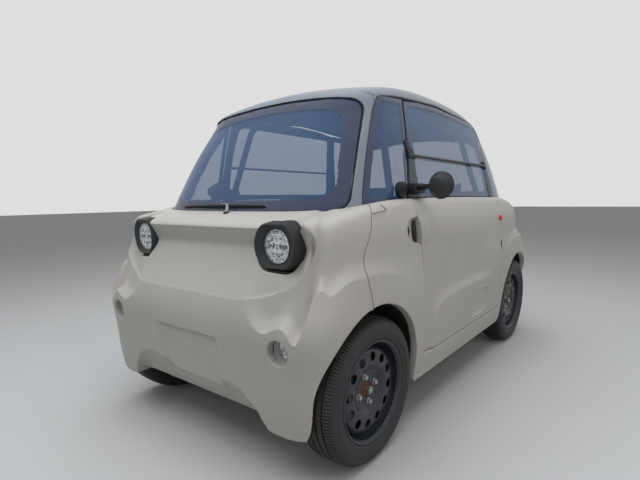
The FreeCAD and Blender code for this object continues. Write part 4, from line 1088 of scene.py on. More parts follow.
def tube(path, radius, closed=False, sides=10, flat=1.0, up=(0, 0, 1)):
    """A round or flattened bar along a path. It is scaled by flat along the direction nearest to up."""
    path = np.asarray(path, float)
    count = len(path)
    if closed:
        run = np.roll(path, -1, 0) - np.roll(path, 1, 0)
    else:
        run = np.gradient(path, axis=0)
    run /= np.linalg.norm(run, axis=1)[:, None]
    high = np.asarray(up, float) - run * (run @ np.asarray(up, float))[:, None]
    length = np.linalg.norm(high, axis=1)[:, None]
    high = np.where(length > 1e-3, high / np.maximum(length, 1e-6), np.array([0, 1.0, 0]))
    wide = np.cross(run, high)
    radii = np.broadcast_to(np.asarray(radius, float), (count,))[:, None]
    rings = []
    for k in range(sides):
        angle = 2 * math.pi * k / sides
        rings.append(path + wide * radii * math.cos(angle) + high * radii * math.sin(angle) * flat)
    verts = np.stack(rings, 1).reshape(-1, 3)
    faces = []
    for i in range(count if closed else count - 1):
        j = (i + 1) % count
        for k in range(sides):
            m = (k + 1) % sides
            faces.append((i * sides + k, i * sides + m, j * sides + m, j * sides + k))
    if not closed:
        faces.append(tuple(range(sides))[::-1])
        faces.append(tuple((count - 1) * sides + k for k in range(sides)))
    return verts, faces


def surface_path(skin, loop, lift=0.0):
    """A loop of (s, v) as points on a skin, raised by lift."""
    s, v = np.asarray(loop)[:, 0], np.asarray(loop)[:, 1]
    return skin(s, v) + normals(skin, s, v) * lift


# Roof, hoops, screens and side glass

ROOF_WALL, HOOP_WALL = 0.024, 0.026
seam, header = corner_rise(), header_seam()
half_ring = np.concatenate([seam[::-1], roof_top_edge(), to_rear(seam)[::-1]])
rear_header = np.stack([2 * QUARTER - header[:, 0], header[:, 1]], -1)
ring = np.concatenate([half_ring, rear_header, half_ring - [2 * QUARTER, 0], header])
roof_outline = grown(roof_plane(ring[:, 0], ring[:, 1]), -0.0012)
roof = shell(roof_skin, roof_outline, ROOF_WALL, None, [], (), 0.018, 0.004)
piece("roof_shell", roof, ROOF, "car", "roof_plastic", "roof_panel")

hoop_side = side_ways([(-SEAM_FOOT - 0.001, 1.356)]
                      + [(-hoop_edge(z), z) for z in np.linspace(1.340, 0.952, 24)])
hoop_foot = []
for s in np.linspace(hoop_side[-1][0] - 0.01, 0.0, 24):
    z = 0.94
    for _ in range(8):
        z = float(DECK(round_at(np.array(s), np.array(z), CABIN)[1])) - 0.004
    hoop_foot.append((s, min(z, 0.9365)))
half_hoop = np.concatenate([header[:25][::-1], seam[::-1][:-1], hoop_side, hoop_foot])
hoop_ring = np.concatenate([half_hoop, mirror_ways(half_hoop)[1:-1]])
screen_hole = screen_ways(screen_loop(-0.0035, 0.050))
FRONT_REAR = ("_front", "_rear")
hoop = shell(greenhouse, grown(hoop_ring, -0.001), HOOP_WALL, None, [screen_hole], grid=0.012, back_grid=0.03)
pair("hoop_skin", hoop, HOOP_PAINT, CAR, "body_paint", ("hoop_front", "hoop_rear"), FRONT_REAR)

screen, marks = pane(screen_ways(screen_loop(0.0005, 0.047)), screen_ways(screen_loop(0.042, 0.070)))
pair("", screen, [GLASS_TINT_AND_SKY, FRIT], CAR, "window_glass", ("windscreen", "rear_window"),
     ("windscreen_glass", "rear_screen_glass"), marks=marks)
seal = tube(surface_path(cabin, screen_ways(screen_loop(-0.0015, 0.049)), 0.0002), 0.0026, True, 8)
pair("screen_seal", seal, SEAL, CAR, "black_plastic", tags=FRONT_REAR)


def deck_below(y):
    return float(DECK(y)) - 0.003


DOOR_EDGE_LOW, DOOR_EDGE_TOP = -0.515, -0.342


def door_edge(z, gap=0.0):
    """The door glass's leading edge at a height, and the quarter pane's rear edge with a gap."""
    return DOOR_EDGE_LOW + (DOOR_EDGE_TOP - DOOR_EDGE_LOW) * (z - BELT) / (1.4145 - BELT) + gap


def front_quarter(shrink):
    """Front quarter pane in side view."""
    low = [(y, deck_below(y) + shrink * 0.35)
           for y in np.linspace(-0.800 + shrink * 1.1, -0.538 - shrink * 0.7, 8)]
    rear = [(door_edge(z) - 0.002 - shrink * 0.62, z) for z in np.linspace(1.02, 1.385, 8)]
    top_z = 1.408 - shrink * 0.8
    top = [(door_edge(top_z) - 0.002 - shrink * 0.62, top_z), (-0.530, 1.3955 - shrink * 0.8),
           (-hoop_edge(1.360 - shrink) + shrink + 0.002, 1.360 - shrink)]
    front = [(-hoop_edge(z) + shrink + 0.0012, z)
             for z in np.linspace(1.340 - shrink, 0.975 + shrink * 0.35, 12)]
    return low + rear + top + front


def rear_quarter(shrink):
    """Narrow pane behind the door."""
    rear_edge = 0.541 + shrink * 0.7
    low = [(y, deck_below(y) + shrink * 0.35) for y in np.linspace(rear_edge, 0.800 - shrink * 1.1, 8)]
    back = [(hoop_edge(z) - shrink - 0.0012, z) for z in np.linspace(0.975 + shrink * 0.35, 1.340 - shrink, 12)]
    top = [(hoop_edge(1.360 - shrink) - shrink - 0.002, 1.360 - shrink),
           (0.5405 + shrink * 0.7, 1.3945 - shrink * 0.8)]
    front = [(rear_edge, z) for z in np.linspace(1.37 - shrink, 1.02, 8)]
    return low + back + top + front


for name, loop in (("front", front_quarter), ("rear", rear_quarter)):
    inner = rounded([tuple(p) for p in side_ways(loop(0.030))], 0.02, 3)
    quarter, marks = pane(side_ways(loop(0.0)), inner)
    pair("quarter_glass_" + name, quarter, [GLASS_TINT_AND_SKY, FRIT], CAR, "window_glass",
         ("quarter_windows", "quarter_windows"), marks=marks)


# Doors above the belt: black frame, flush panes, bar, posts

HIGH = 1.403


def door_upper(shrink, low, high):
    """The door's glass outline in side view between two heights."""
    rear = [(0.5360 - 0.0035 * (z - BELT) / 0.43 - shrink, z) for z in np.linspace(low, high, 8)]
    front = [(door_edge(z, 0.0105) + shrink, z) for z in np.linspace(high, low, 8)]
    top, base = [], []
    if high == HIGH:
        rear = [(y, min(z, 1.403 - shrink)) for y, z in rear]
        front = [(y, min(z, 1.405 - shrink)) for y, z in front]
        top = [(0.42, 1.4085 - shrink), (0.25, 1.418 - shrink), (0, 1.4265 - shrink), (-0.19, 1.4195 - shrink)]
    if low < BELT + 0.05:
        base = [(y, deck_below(y) + shrink * 0.3 + 0.003) for y in np.linspace(-0.48, 0.50, 12)]
    return base + rear + top + front


BAR_Z = 1.160
FRAME_INSET = 0.0105
door_foot = deck_below(0.0)
frame_outline = side_ways(door_upper(0.003, door_foot - 0.004, HIGH))
frame_hole = side_ways(rounded([(-0.408, 1.012), (0.498, 1.012), (0.492, 1.372), (0.26, 1.386), (0, 1.394),
                                (-0.19, 1.386), (-0.300, 1.374)], 0.045, 6))
window_frame = shell(lambda s, v: cabin(s, v, FRAME_INSET), frame_outline, 0.014, None, [frame_hole], (), 0.02)
pair("window_frame", window_frame, BLACK, DOORS, "black_plastic", ("door_left", "door_right"))
for name, low, high, rim_low, rim_high in (("upper", BAR_Z + 0.004, HIGH, BAR_Z - 0.010, HIGH),
                                           ("lower", door_foot + 0.004, BAR_Z - 0.004, door_foot + 0.012,
                                            BAR_Z + 0.010)):
    clear = rounded([tuple(p) for p in side_ways(door_upper(0.021, rim_low, rim_high))], 0.012, 3)
    window, marks = pane(side_ways(door_upper(0.0, low, high)), clear)
    pair("door_glass_" + name, window, [GLASS_TINT_AND_SKY, FRIT], DOORS, "window_glass",
         ("door_left_panes", "door_right_panes"), marks=marks)


def cabin_point(y, z, out):
    """A point seen from the side, standing out from the greenhouse."""
    return surface_path(cabin, side_ways([(y, z)]), out)[0]


def rounded_box(low, high, radius):
    """A box with eased edges, as rounded outlines stacked along Z."""
    low, high = np.array(low, float), np.array(high, float)
    rings = []
    for z, tuck in ((low[2], 1.0), (low[2] + 0.3 * radius, 0.3), (low[2] + radius, 0), (high[2] - radius, 0),
                    (high[2] - 0.3 * radius, 0.3), (high[2], 1.0)):
        inset = tuck * radius * 0.7
        corners = [(low[0] + inset, low[1] + inset), (high[0] - inset, low[1] + inset),
                   (high[0] - inset, high[1] - inset), (low[0] + inset, high[1] - inset)]
        loop = rounded(corners, radius, 4)
        rings.append(np.array([(x, y, z) for x, y in loop]))
    return lofted(rings, True, True)


def lofted(rings, cap_first=False, cap_last=False, closed=True):
    """Skin through rings of the same number of points."""
    count = len(rings[0])
    verts = np.concatenate(rings)
    faces = []
    for i in range(len(rings) - 1):
        for k in range(count if closed else count - 1):
            m = (k + 1) % count
            faces.append((i * count + k, i * count + m, (i + 1) * count + m, (i + 1) * count + k))
    if cap_first:
        faces.append(tuple(range(count))[::-1])
    if cap_last:
        faces.append(tuple((len(rings) - 1) * count + k for k in range(count)))
    return verts, faces


# The bar between the panes, its hinge at the front and its catch at the rear
bar_y = np.linspace(door_edge(BAR_Z) + 0.018, 0.520, 30)
bar_path = np.array([cabin_point(y, BAR_Z, 0.003) for y in bar_y])
bar_radius = np.full(30, 0.0065)
bar_radius[0] = bar_radius[-1] = 0.004
pair("pane_bar", tube(bar_path, bar_radius, False, 12), GREY_TRIM, DOORS, "black_plastic")


PLATE_INSET = 0.0032


def side_plate(outline, thick):
    """A small plate that follows the greenhouse."""
    return shell(lambda s, v: cabin(s, v, PLATE_INSET - thick), side_ways(outline), thick, grid=0.012,
                 edge=0.0025)


front_at = door_edge(BAR_Z) + 0.011
low_front = door_edge(1.0) + 0.010
foot_front, foot_z = low_front - 0.004, deck_below(low_front) + 0.004
for name, outline, ease, thick, finish in (
        ("pane_hinge", [(front_at - 0.002, BAR_Z + 0.066), (front_at + 0.014, BAR_Z + 0.060),
                        (front_at + 0.062, BAR_Z + 0.006), (front_at + 0.062, BAR_Z - 0.012),
                        (front_at - 0.002, BAR_Z - 0.014)], 0.008, 0.007, BLACK),
        ("front_post", [(front_at - 0.004, BAR_Z - 0.010), (front_at + 0.036, BAR_Z - 0.010),
                        (low_front + 0.095, 1.004), (low_front + 0.092, foot_z), (foot_front, foot_z)],
         0.006, 0.003, GREY_TRIM),
        ("rear_post", [(0.500, BAR_Z + 0.016), (0.530, BAR_Z + 0.012), (0.533, deck_below(0.53) + 0.004),
                       (0.470, deck_below(0.5) + 0.004), (0.487, BAR_Z - 0.05)], 0.006, 0.003, GREY_TRIM),
        ("pane_catch", [(0.482, BAR_Z + 0.028), (0.520, BAR_Z + 0.026), (0.524, BAR_Z - 0.014),
                        (0.492, BAR_Z - 0.018)], 0.008, 0.009, BLACK)):
    pair(name, side_plate(rounded(outline, ease, 4), thick), finish, DOORS, "black_plastic")

# Mirrors: a round glass in a cone, on an arm from the window's leading corner

MIRROR = np.array([0.722, -0.455, 1.030])


def turned_profile(profile, centre, axis, count, capped=True):
    """A profile of radius and offset turned about an axis through centre."""
    angles = np.linspace(0, 2 * math.pi, count, endpoint=False)
    rings = []
    for radius, offset in profile:
        a, b, c = radius * np.cos(angles), radius * np.sin(angles), np.full(count, offset)
        rings.append(np.stack({"x": (c, a, b), "y": (b, c, a), "z": (a, b, c)}[axis], -1) + centre)
    return lofted(rings, capped, capped)


cone = [(0.0245, -0.0585), (0.027, -0.0575), (0.031, -0.050), (0.0405, -0.030), (0.049, -0.013),
        (0.054, -0.004), (0.0556, -0.001), (0.0556, 0.0005), (0.0548, 0.0008), (0.0535, -0.0005),
        (0.0525, -0.002)]
arm_path = resampled([cabin_point(-0.450, 1.016, -0.004), (0.622, -0.456, 1.019), (0.650, -0.476, 1.022),
                      (0.690, -0.496, 1.027), (0.716, -0.500, 1.029)], 0.008)
arm = tube(arm_path, np.linspace(0.0125, 0.0095, len(arm_path)), False, 14)
silvered = [(0.052, -0.0016), (0.0515, -0.0008), (0.040, -0.0001), (0.020, 0.0004), (0.0001, 0.0005)]
knob = [(0.001, -0.006), (0.024, -0.006), (0.0310, -0.003), (0.0330, 0.002), (0.0335, 0.014), (0.0310, 0.020),
        (0.019, 0.023), (0.001, 0.0236)]
for name, shape, finish, slot, nodes in (
        ("mirror_case", joined([turned_profile(cone, MIRROR, "y", 56), arm]), GRAINED, "grained_plastic",
         ("mirror_left", "mirror_right")),
        ("mirror_glass", turned_profile(silvered, MIRROR, "y", 48), SILVER, "grained_plastic", ((), ())),
        ("mirror_base", rounded_box((0.575, -0.502, 1.000), (0.632, -0.412, 1.040), 0.007), BLACK,
         "black_plastic", ((), ())),
        ("mirror_knob", turned_profile(knob, cabin_point(-0.566, 1.014, -0.006), "x", 40), BLACK,
         "black_plastic", ((), ()))):
    pair(name, shape, finish, DOORS, slot, nodes, copy=mirrored)

# Red cap near the door's trailing edge


def tub_point(y, z):
    return surface_path(tub, ways([(y, z)]))[0]


cap = turned_profile([(0.0165, -0.003), (0.0168, 0.0050), (0.0150, 0.0090), (0.0100, 0.0118), (0.0005, 0.0128)],
                     tub_point(0.493, 0.858), "x", 36)
pair("round_cap", cap, RED_CAP, DOORS, "tail_glass")


# Head and tail lamps: a thick housing cut flat above and below, a deep cone and a patterned lens

LAMP_FRONT, LAMP_BACK, LENS_Y = -1.105, -1.045, -1.0905
LENS_RADIUS = 0.0590
RIM_LEAN = 0.090


def lamp_ring(wide, tall, y):
    ring = cut_circle(wide, tall, 40, 96) + [LAMP_X, LAMP_Z]
    return np.stack([ring[:, 0], np.full(96, y), ring[:, 1]], -1)


def four_corners(name, shape, finish, slot, nodes=((), ()), **more):
    """A piece at the left front and its copies at the other corners. A tuple is split between the ends."""
    for tag, form, end in (("_front_left", shape, 0), ("_front_right", mirrored(shape), 0),
                           ("_rear_right", turned(shape), 1), ("_rear_left", turned(mirrored(shape)), 1)):
        use, glaze = (item[end] if isinstance(item, tuple) else item for item in (finish, slot))
        piece(name + tag, form, use, "car", glaze, nodes[end], **more)


def housing_ring(shrink, y, slope, lens_share, flare):
    """A ring of the housing: its front rim leans back towards the car's side."""
    ring = lamp_ring(LAMP_WIDE / 2 - shrink + flare, LAMP_TALL / 2 - shrink * 0.9 + flare * 0.9, y)
    lens = lamp_ring(LENS_RADIUS + 0.0012, LENS_RADIUS + 0.0012, y)
    ring = ring + lens_share * (lens - ring)
    ring[:, 1] += slope * RIM_LEAN * (ring[:, 0] - LAMP_X)
    return ring


rings = [housing_ring(shrink, y, slope, 0, lamp_flare(y))
         for shrink, y, slope in ((0, LAMP_BACK, 0), (0, -1.075, 0), (0.0006, -1.094, 0.8))]
rings += [housing_ring(shrink, LAMP_FRONT + back, slope, share, 0) for shrink, back, slope, share in (
    (0.0016, 0.0020, 1, 0), (0.0028, 0.0005, 1, 0), (0.0042, 0, 1, 0), (0.0060, 0, 1, 0),
    (0.0076, 0.0008, 1, 0), (0.0090, 0.0030, 1, 0), (0.0090, 0.0075, 0.7, 0.45))]
rings += [housing_ring(0.0090, LENS_Y + back, slope, share, 0) for back, slope, share in (
    (-0.0020, 0.2, 0.86), (-0.0026, 0, 0.90), (-0.0012, 0, 0.93), (-0.0020, 0, 0.98), (0.0005, 0, 1),
    (0.0160, 0, 1))]
four_corners("lamp_housing", lofted(rings), GRAINED, "grained_plastic", ("lamp_housings", "lamp_housings"),
             sharp=40)

FACET_DEEP = 0.0010
prism_noise = np.random.default_rng(11)


def patterned_disc(centre, radius, bands, sectors, dome, rough):
    """A reflector of many small facets: each cell of rings and sectors is tilted its own way."""
    verts, faces = [], []
    for ring in range(bands):
        r1, r2 = radius * ring / bands, radius * (ring + 1) / bands
        share = max(6, int(round(sectors * (ring + 0.7) / bands)))
        for k in range(share):
            a1, a2 = 2 * math.pi * k / share, 2 * math.pi * (k + 1) / share
            tilt = prism_noise.uniform(-1, 1, 2) * rough
            start = len(verts)
            for r, a in ((r1, a1), (r2, a1), (r2, a2), (r1, a2)):
                lift = dome * (1 - (r / radius) ** 2)
                side = tilt[0] * (1 if r == r2 else -1) + tilt[1] * (1 if a == a2 else -1)
                verts.append((centre[0] + r * math.cos(a), centre[1] - lift + FACET_DEEP * side,
                              centre[2] + r * math.sin(a)))
            faces.append((start, start + 1, start + 2, start + 3))
    return np.array(verts), faces


def dome_disc(centre, radius, rise, rim, count=64, bands=8):
    """A clear cover: a shallow dome with a short skirt."""
    profile = [(radius, rim), (radius, 0.0)]
    for k in range(1, bands + 1):
        r = radius * (1 - k / bands)
        profile.append((max(r, 0.0002), -rise * (1 - (r / radius) ** 2)))
    return turned_profile(profile, centre, "y", count)


lens_centre = np.array([LAMP_X, LENS_Y, LAMP_Z])
reflector = patterned_disc(lens_centre + [0, 0.0065, 0], LENS_RADIUS - 0.001, 11, 64, 0.004, 0.9)
cell_mark = prism_noise.choice([0, 1, 2], len(reflector[1]), p=[0.70, 0.19, 0.11])
for index, face in enumerate(reflector[1]):
    middle = reflector[0][list(face)].mean(0) - lens_centre
    if abs(middle[2]) < 0.0035 and 0.012 < abs(middle[0]) < 0.045:
        cell_mark[index] = 2
four_corners("lamp_reflector", reflector, ([LENS_WHITE, LENS_GREY, LENS_DARK], [LENS_RED, LENS_RED, LENS_DARK]),
             ("lamp_glass", "tail_glass"), marks=cell_mark, smooth_shade=False)
four_corners("lamp_cover", dome_disc(lens_centre, LENS_RADIUS, 0.0035, 0.012), (CLEAR, RED_CLEAR),
             ("lamp_glass", "tail_glass"), ("head_lamp_lenses", "tail_lamp_lenses"))
CHIP_LONG, CHIP_TALL = 0.0042, 0.0021
chips = []
for row, width in ((0.0035, 0.036), (-0.0065, 0.046), (-0.028, 0.030), (0.026, 0.030)):
    columns = 5 if abs(row) < 0.01 else 3
    for column in range(columns):
        x = (column - (columns - 1) / 2) * width * 2 / columns
        chips.append(rounded_box((LAMP_X + x - CHIP_LONG, LENS_Y + 0.0005, LAMP_Z + row - CHIP_TALL),
                                 (LAMP_X + x + CHIP_LONG, LENS_Y + 0.0040, LAMP_Z + row + CHIP_TALL), 0.001))
four_corners("lamp_chips", joined(chips), BLACK, "black_plastic")

# Low lamps at the corners of both bumpers
LOW_Y, LOW_LENS_RADIUS = -1.167, 0.0338
low_centre = np.array([LOW_LAMP_X, LOW_Y, LOW_LAMP_Z])
ring_profile = [(0.0432, 0.030), (0.0434, -0.004), (0.0426, -0.0062), (0.0412, -0.0068), (0.0396, -0.0060),
                (0.0372, -0.0010), (0.0352, 0.0030), (0.0344, 0.0045), (0.0340, 0.012), (0.0340, 0.030)]
angles = np.linspace(0, 2 * math.pi, 56, endpoint=False)
rings = [np.stack([r * np.cos(angles), np.full(56, off), r * np.sin(angles)], -1) + low_centre
         for r, off in ring_profile]
four_corners("low_lamp_ring", flipped(lofted(rings)), LIGHT_TRIM, "lamp_glass",
             ("corner_lamps", "corner_lamps"))
low_reflector = patterned_disc(low_centre + [0, 0.014, 0], LOW_LENS_RADIUS, 7, 40, -0.006, 0.8)
four_corners("low_lamp_reflector", low_reflector, LENS_RIM, "lamp_glass", smooth_shade=False)
low_cover = dome_disc(low_centre + [0, 0.0035, 0], LOW_LENS_RADIUS, 0.0040, 0.006, 48, 6)
four_corners("low_lamp_cover", low_cover, CLEAR, "lamp_glass")

# Wheels: pressed steel disc with round vents, rolled rim, hub with a slotted nut, four bolts

TYRE_RADIUS, TRACK_X = 0.2785, 0.600
DISC_PLANE, DISC_EDGE, DISC_WALL, HUB_HOLE = 0.047, 0.1690, 0.0035, 0.0302
VENTS, VENT_CIRCLE, VENT_RADIUS, VENT_PHASE = 12, 0.130, 0.0175, 8
BOLT_CIRCLE, BOLT_PHASE = 0.0535, -14

disc_height = spline([(r, DISC_PLANE - deep) for r, deep in (
    (0.0, 0.020), (0.040, 0.020), (0.066, 0.0195), (0.078, 0.0150), (0.092, 0.0050), (0.104, 0.0005),
    (0.118, 0), (0.140, 0.001), (0.152, 0.004), (0.160, 0.010), (0.166, 0.019), (0.170, 0.028))])


def disc_skin(p, q):
    r = np.hypot(p, q)
    coil = 0.0012 * np.exp(-((r - 0.0700) / 0.0030) ** 2)
    return np.stack([disc_height(r) + coil, p, q], -1)


angles = np.linspace(0, 2 * math.pi, 128, endpoint=False)
circle = np.stack([np.cos(angles), np.sin(angles)], -1)
holes = [circle[::4] * VENT_RADIUS + VENT_CIRCLE * np.array([math.cos(a), math.sin(a)])
         for a in math.radians(180 - VENT_PHASE) + 2 * math.pi * np.arange(VENTS) / VENTS]
holes.append(circle[::3] * HUB_HOLE)
disc = shell(disc_skin, circle * DISC_EDGE, DISC_WALL, None, holes, (), 0.006, 0.0022, back_grid=0.02)


def wheel_ring(profile, count=128):
    """A closed profile of radius and offset turned about the axle."""
    return turned_profile(profile + profile[:1], np.zeros(3), "x", count, False)


rim_profile = [(0.1665, 0.0140), (0.1700, 0.0190), (0.1735, 0.0235), (0.1770, 0.0300), (0.1790, 0.0360),
               (0.1806, 0.0430), (0.1800, 0.0520), (0.1812, 0.0585),
               (0.1850, 0.0618), (0.1900, 0.0630), (0.1934, 0.0640), (0.1948, 0.0658), (0.1946, 0.0676),
               (0.1928, 0.0684), (0.1895, 0.0676), (0.1858, 0.0655), (0.1836, 0.0600), (0.1842, 0.0520),
               (0.1852, 0.0400), (0.1848, 0.0290), (0.1820, 0.0190), (0.1740, 0.0090), (0.1640, 0.0000),
               (0.1640, -0.0280), (0.1840, -0.0410), (0.1850, -0.0600), (0.1946, -0.0645), (0.1940, -0.0670),
               (0.1900, -0.0672), (0.1808, -0.0620), (0.1800, -0.0440), (0.1600, -0.0310), (0.1600, 0.0040)]
wheel_parts = joined([disc, flipped(wheel_ring(rim_profile))])

HUB_FACE = 0.0290
hub = wheel_ring([(r, HUB_FACE - deep) for r, deep in (
    (0.0005, 0), (0.0200, 0), (0.0245, 0.0005), (0.0265, 0.0030), (0.0288, 0.0040), (0.0295, 0.0065),
    (0.0297, 0.015), (0.0480, 0.0150), (0.0480, 0.0220), (0.0005, 0.0220))], 64)


def nut_shape():
    """A round nut whose outer end is cut by six slots."""
    rings = []
    for r, off, slotted in ((0.0145, 0.0, False), (0.0145, 0.0090, False), (0.0143, 0.0091, True),
                            (0.0139, 0.0185, True), (0.0132, 0.0192, True), (0.0088, 0.0192, True),
                            (0.0082, 0.0186, True), (0.0080, 0.0110, False), (0.0078, 0.0200, False),
                            (0.0064, 0.0212, False), (0.0005, 0.0214, False)):
        ring = []
        for k, angle in enumerate(round_steps(72)):
            out = min(off, 0.0110) if slotted and k % 12 < 3 else off
            ring.append((HUB_FACE + out, r * math.cos(angle), r * math.sin(angle)))
        rings.append(np.array(ring))
    return lofted(rings, False, True)


def bolt_shape(angle):
    """A bolt with a collar and a hexagon head."""
    centre = np.array([DISC_PLANE - 0.0200, BOLT_CIRCLE * math.cos(angle), BOLT_CIRCLE * math.sin(angle)])
    rings = []
    for r, off, hexagon in ((0.0125, 0.0005, False), (0.0125, 0.0025, False), (0.0118, 0.0032, False),
                            (0.0100, 0.0036, True), (0.0098, 0.0120, True), (0.0088, 0.0134, True),
                            (0.0060, 0.0136, False), (0.0055, 0.0122, False), (0.0005, 0.0120, False)):
        ring = []
        for turn in round_steps(36):
            reach = r
            if hexagon:
                reach *= math.cos(math.pi / 6) / math.cos((turn % (math.pi / 3)) - math.pi / 6)
            ring.append((off, reach * math.cos(turn), reach * math.sin(turn)))
        rings.append(np.array(ring) + centre)
    return lofted(rings, True, True)


nut = nut_shape()
bolts = joined([bolt_shape(math.radians(180 - BOLT_PHASE + 90 * k)) for k in range(4)])

# Tyre: grooved tread with cut shoulders and ringed side walls

PITCHES = 72
GROOVES, GROOVE_HALF, GROOVE_DEEP = (-0.0405, -0.0140, 0.0140, 0.0405), 0.0035, 0.0068
INNER_CUT, OUTER_CUT, SHOULDER_CUT, CUT_SLANT = 0.0035, 0.0050, 0.0045, 0.10
TREAD_HALF, TREAD_FALL = 0.0448, 0.0020
tyre_rows = [(0.1868, 0.0570), (0.1935, 0.0605), (0.1962, 0.0655), (0.1975, 0.0678), (0.2010, 0.0700),
             (0.2040, 0.0712), (0.2070, 0.0732), (0.2090, 0.0736), (0.2105, 0.0730), (0.2160, 0.0750),
             (0.2225, 0.0762), (0.2245, 0.0776), (0.2290, 0.0782), (0.2330, 0.0780), (0.2345, 0.0771),
             (0.2400, 0.0766), (0.2465, 0.0754), (0.2520, 0.0740), (0.2548, 0.0730), (0.2562, 0.0716),
             (0.2578, 0.0718), (0.2598, 0.0712)]
shoulder_rows = [(0.2620, 0.0690), (0.2668, 0.0660), (0.2700, 0.0625), (0.2728, 0.0585), (0.2748, 0.0540),
                 (0.2758, 0.0500)]


def tread_radius(w):
    """Crown of the tread across its width."""
    return TYRE_RADIUS - TREAD_FALL * (abs(w) / 0.05) ** 2.2


crown = {TREAD_HALF, 0.0, -TREAD_HALF, 0.0270, -0.0270, 0.0070, -0.0070}
crown |= {groove + edge for groove in GROOVES for edge in (-0.0042, -0.0030, 0.0030, 0.0042)}
half = [(r, w, "side") for r, w in tyre_rows] + [(r, w, "shoulder") for r, w in shoulder_rows]
profile = half + [(tread_radius(w), w, "crown") for w in sorted(crown, reverse=True)]
profile += [(r, -w, kind) for r, w, kind in reversed(half)]
profile += [(0.1950, -0.0450, "inner"), (0.1950, 0.0450, "inner")]


def tyre_shape():
    """The tyre's section turned about the axle, its tread and shoulders cut by sipes."""
    step = 2 * math.pi / PITCHES
    angles = np.array([base + step * share for base in round_steps(PITCHES)
                       for share in (0, 0.05, 0.17, 0.22, 0.50, 0.55, 0.67, 0.72)])
    phase = np.tile(np.arange(8), PITCHES)
    first, second = (phase == 1) | (phase == 2), (phase == 5) | (phase == 6)
    rings = []
    for r, w, kind in profile:
        radius = np.full(len(angles), r)
        if kind == "crown":
            near = min(abs(w - c) for c in GROOVES)
            if near < GROOVE_HALF:
                radius -= GROOVE_DEEP
            elif near > 0.0050 and abs(w) > 0.01:
                deep = INNER_CUT if abs(w) < 0.0400 else OUTER_CUT
                radius -= np.where(second if abs(w) < 0.014 else first, deep, 0)
        elif kind == "shoulder":
            deep = SHOULDER_CUT * min(1.0, (r - 0.2600) / 0.008)
            radius -= np.where(first | second, deep, 0)
        turn = angles + (CUT_SLANT * w / 0.05 * step if kind in ("crown", "shoulder") else 0)
        rings.append(np.stack([np.full(len(angles), w), radius * np.cos(turn), radius * np.sin(turn)], -1))
    rings.append(rings[0])
    return lofted(rings)


def at_wheel(shape, side, end, spin=0.0):
    """A shape round the axle, turned by spin and moved to a wheel's place."""
    verts, faces = shape
    c, s = math.cos(spin), math.sin(spin)
    verts = np.stack([verts[:, 0], c * verts[:, 1] - s * verts[:, 2], s * verts[:, 1] + c * verts[:, 2]], -1)
    verts = verts * [side, 1, 1] + [side * TRACK_X, end * AXLE, TYRE_RADIUS]
    return (verts, faces) if side > 0 else flipped((verts, faces))


tyre, hub, nut, bolts = (flipped(shape) for shape in (tyre_shape(), hub, nut, bolts))
for name, side, end, spin in (("front_left", 1, -1, 0.0), ("front_right", -1, -1, 0.5),
                              ("rear_left", 1, 1, 0.9), ("rear_right", -1, 1, 1.3)):
    body, steel = name + "_wheel", "wheel_" + name
    piece("tyre_" + name + "_mesh", at_wheel(tyre, side, end), RUBBER, body, "tyre_rubber", "tyre_" + name,
          sharp=28)
    piece("rim_" + name, at_wheel(wheel_parts, side, end, spin), DISC, body, "wheel_steel", steel, sharp=45)
    piece("hub_" + name, at_wheel(hub, side, end, spin), RUST, body, "frame_steel", steel, sharp=30)
    piece("hub_nut_" + name, at_wheel(nut, side, end, spin), ZINC, body, "cast_metal", sharp=30)
    piece("wheel_bolts_" + name, at_wheel(bolts, side, end, spin), ZINC, body, "cast_metal", sharp=30)


# Wiper, hand recess fittings, a black sheet of painted shadow in the door's grab opening, small cover on the
# front wing


def wiper_y(x, z):
    """How far forward the windscreen is at x and z."""
    return float(cabin(end_way(np.array([x]), np.array([z]), CABIN), np.array([z]))[0][1])


blade_x = np.linspace(-0.330, 0.205, 26)
blade = np.array([(x, wiper_y(x, 0.9585) - 0.0075, 0.9600 - 0.004 * (x / 0.3) ** 2) for x in blade_x])
rubber = tube(blade + [0, 0.0035, -0.004], 0.0032, False, 6)
spine = tube(blade, np.interp(blade_x, [-0.33, -0.06, 0.205], [0.0030, 0.0062, 0.0030]), False, 10, 0.8)
hub_at = np.array([0.030, -0.990, 0.934])
arm = np.array([hub_at, hub_at + [-0.004, 0.012, 0.012], hub_at + [-0.020, 0.026, 0.022],
                (-0.012, wiper_y(-0.012, 0.962) - 0.013, 0.9665),
                (-0.050, wiper_y(-0.05, 0.962) - 0.011, 0.9665)])
arm = resampled(arm, 0.006)
arm_radius = np.interp(np.linspace(0, 1, len(arm)), [0, 0.3, 1], [0.0072, 0.0062, 0.0040])
piece("wiper_blade", joined([rubber, spine]), BLACK, "car", "black_plastic", "wiper")
piece("wiper_arm", tube(arm, arm_radius, False, 10, 0.6), ZINC, "car", "frame_steel")
hub_cap = turned_profile([(0.0110, -0.012), (0.0112, 0.0), (0.0100, 0.0030), (0.0070, 0.0042),
                          (0.0004, 0.0046)], hub_at + [0, 0.002, -0.002], "z", 28)
piece("wiper_hub", hub_cap, BLACK, "car", "black_plastic")
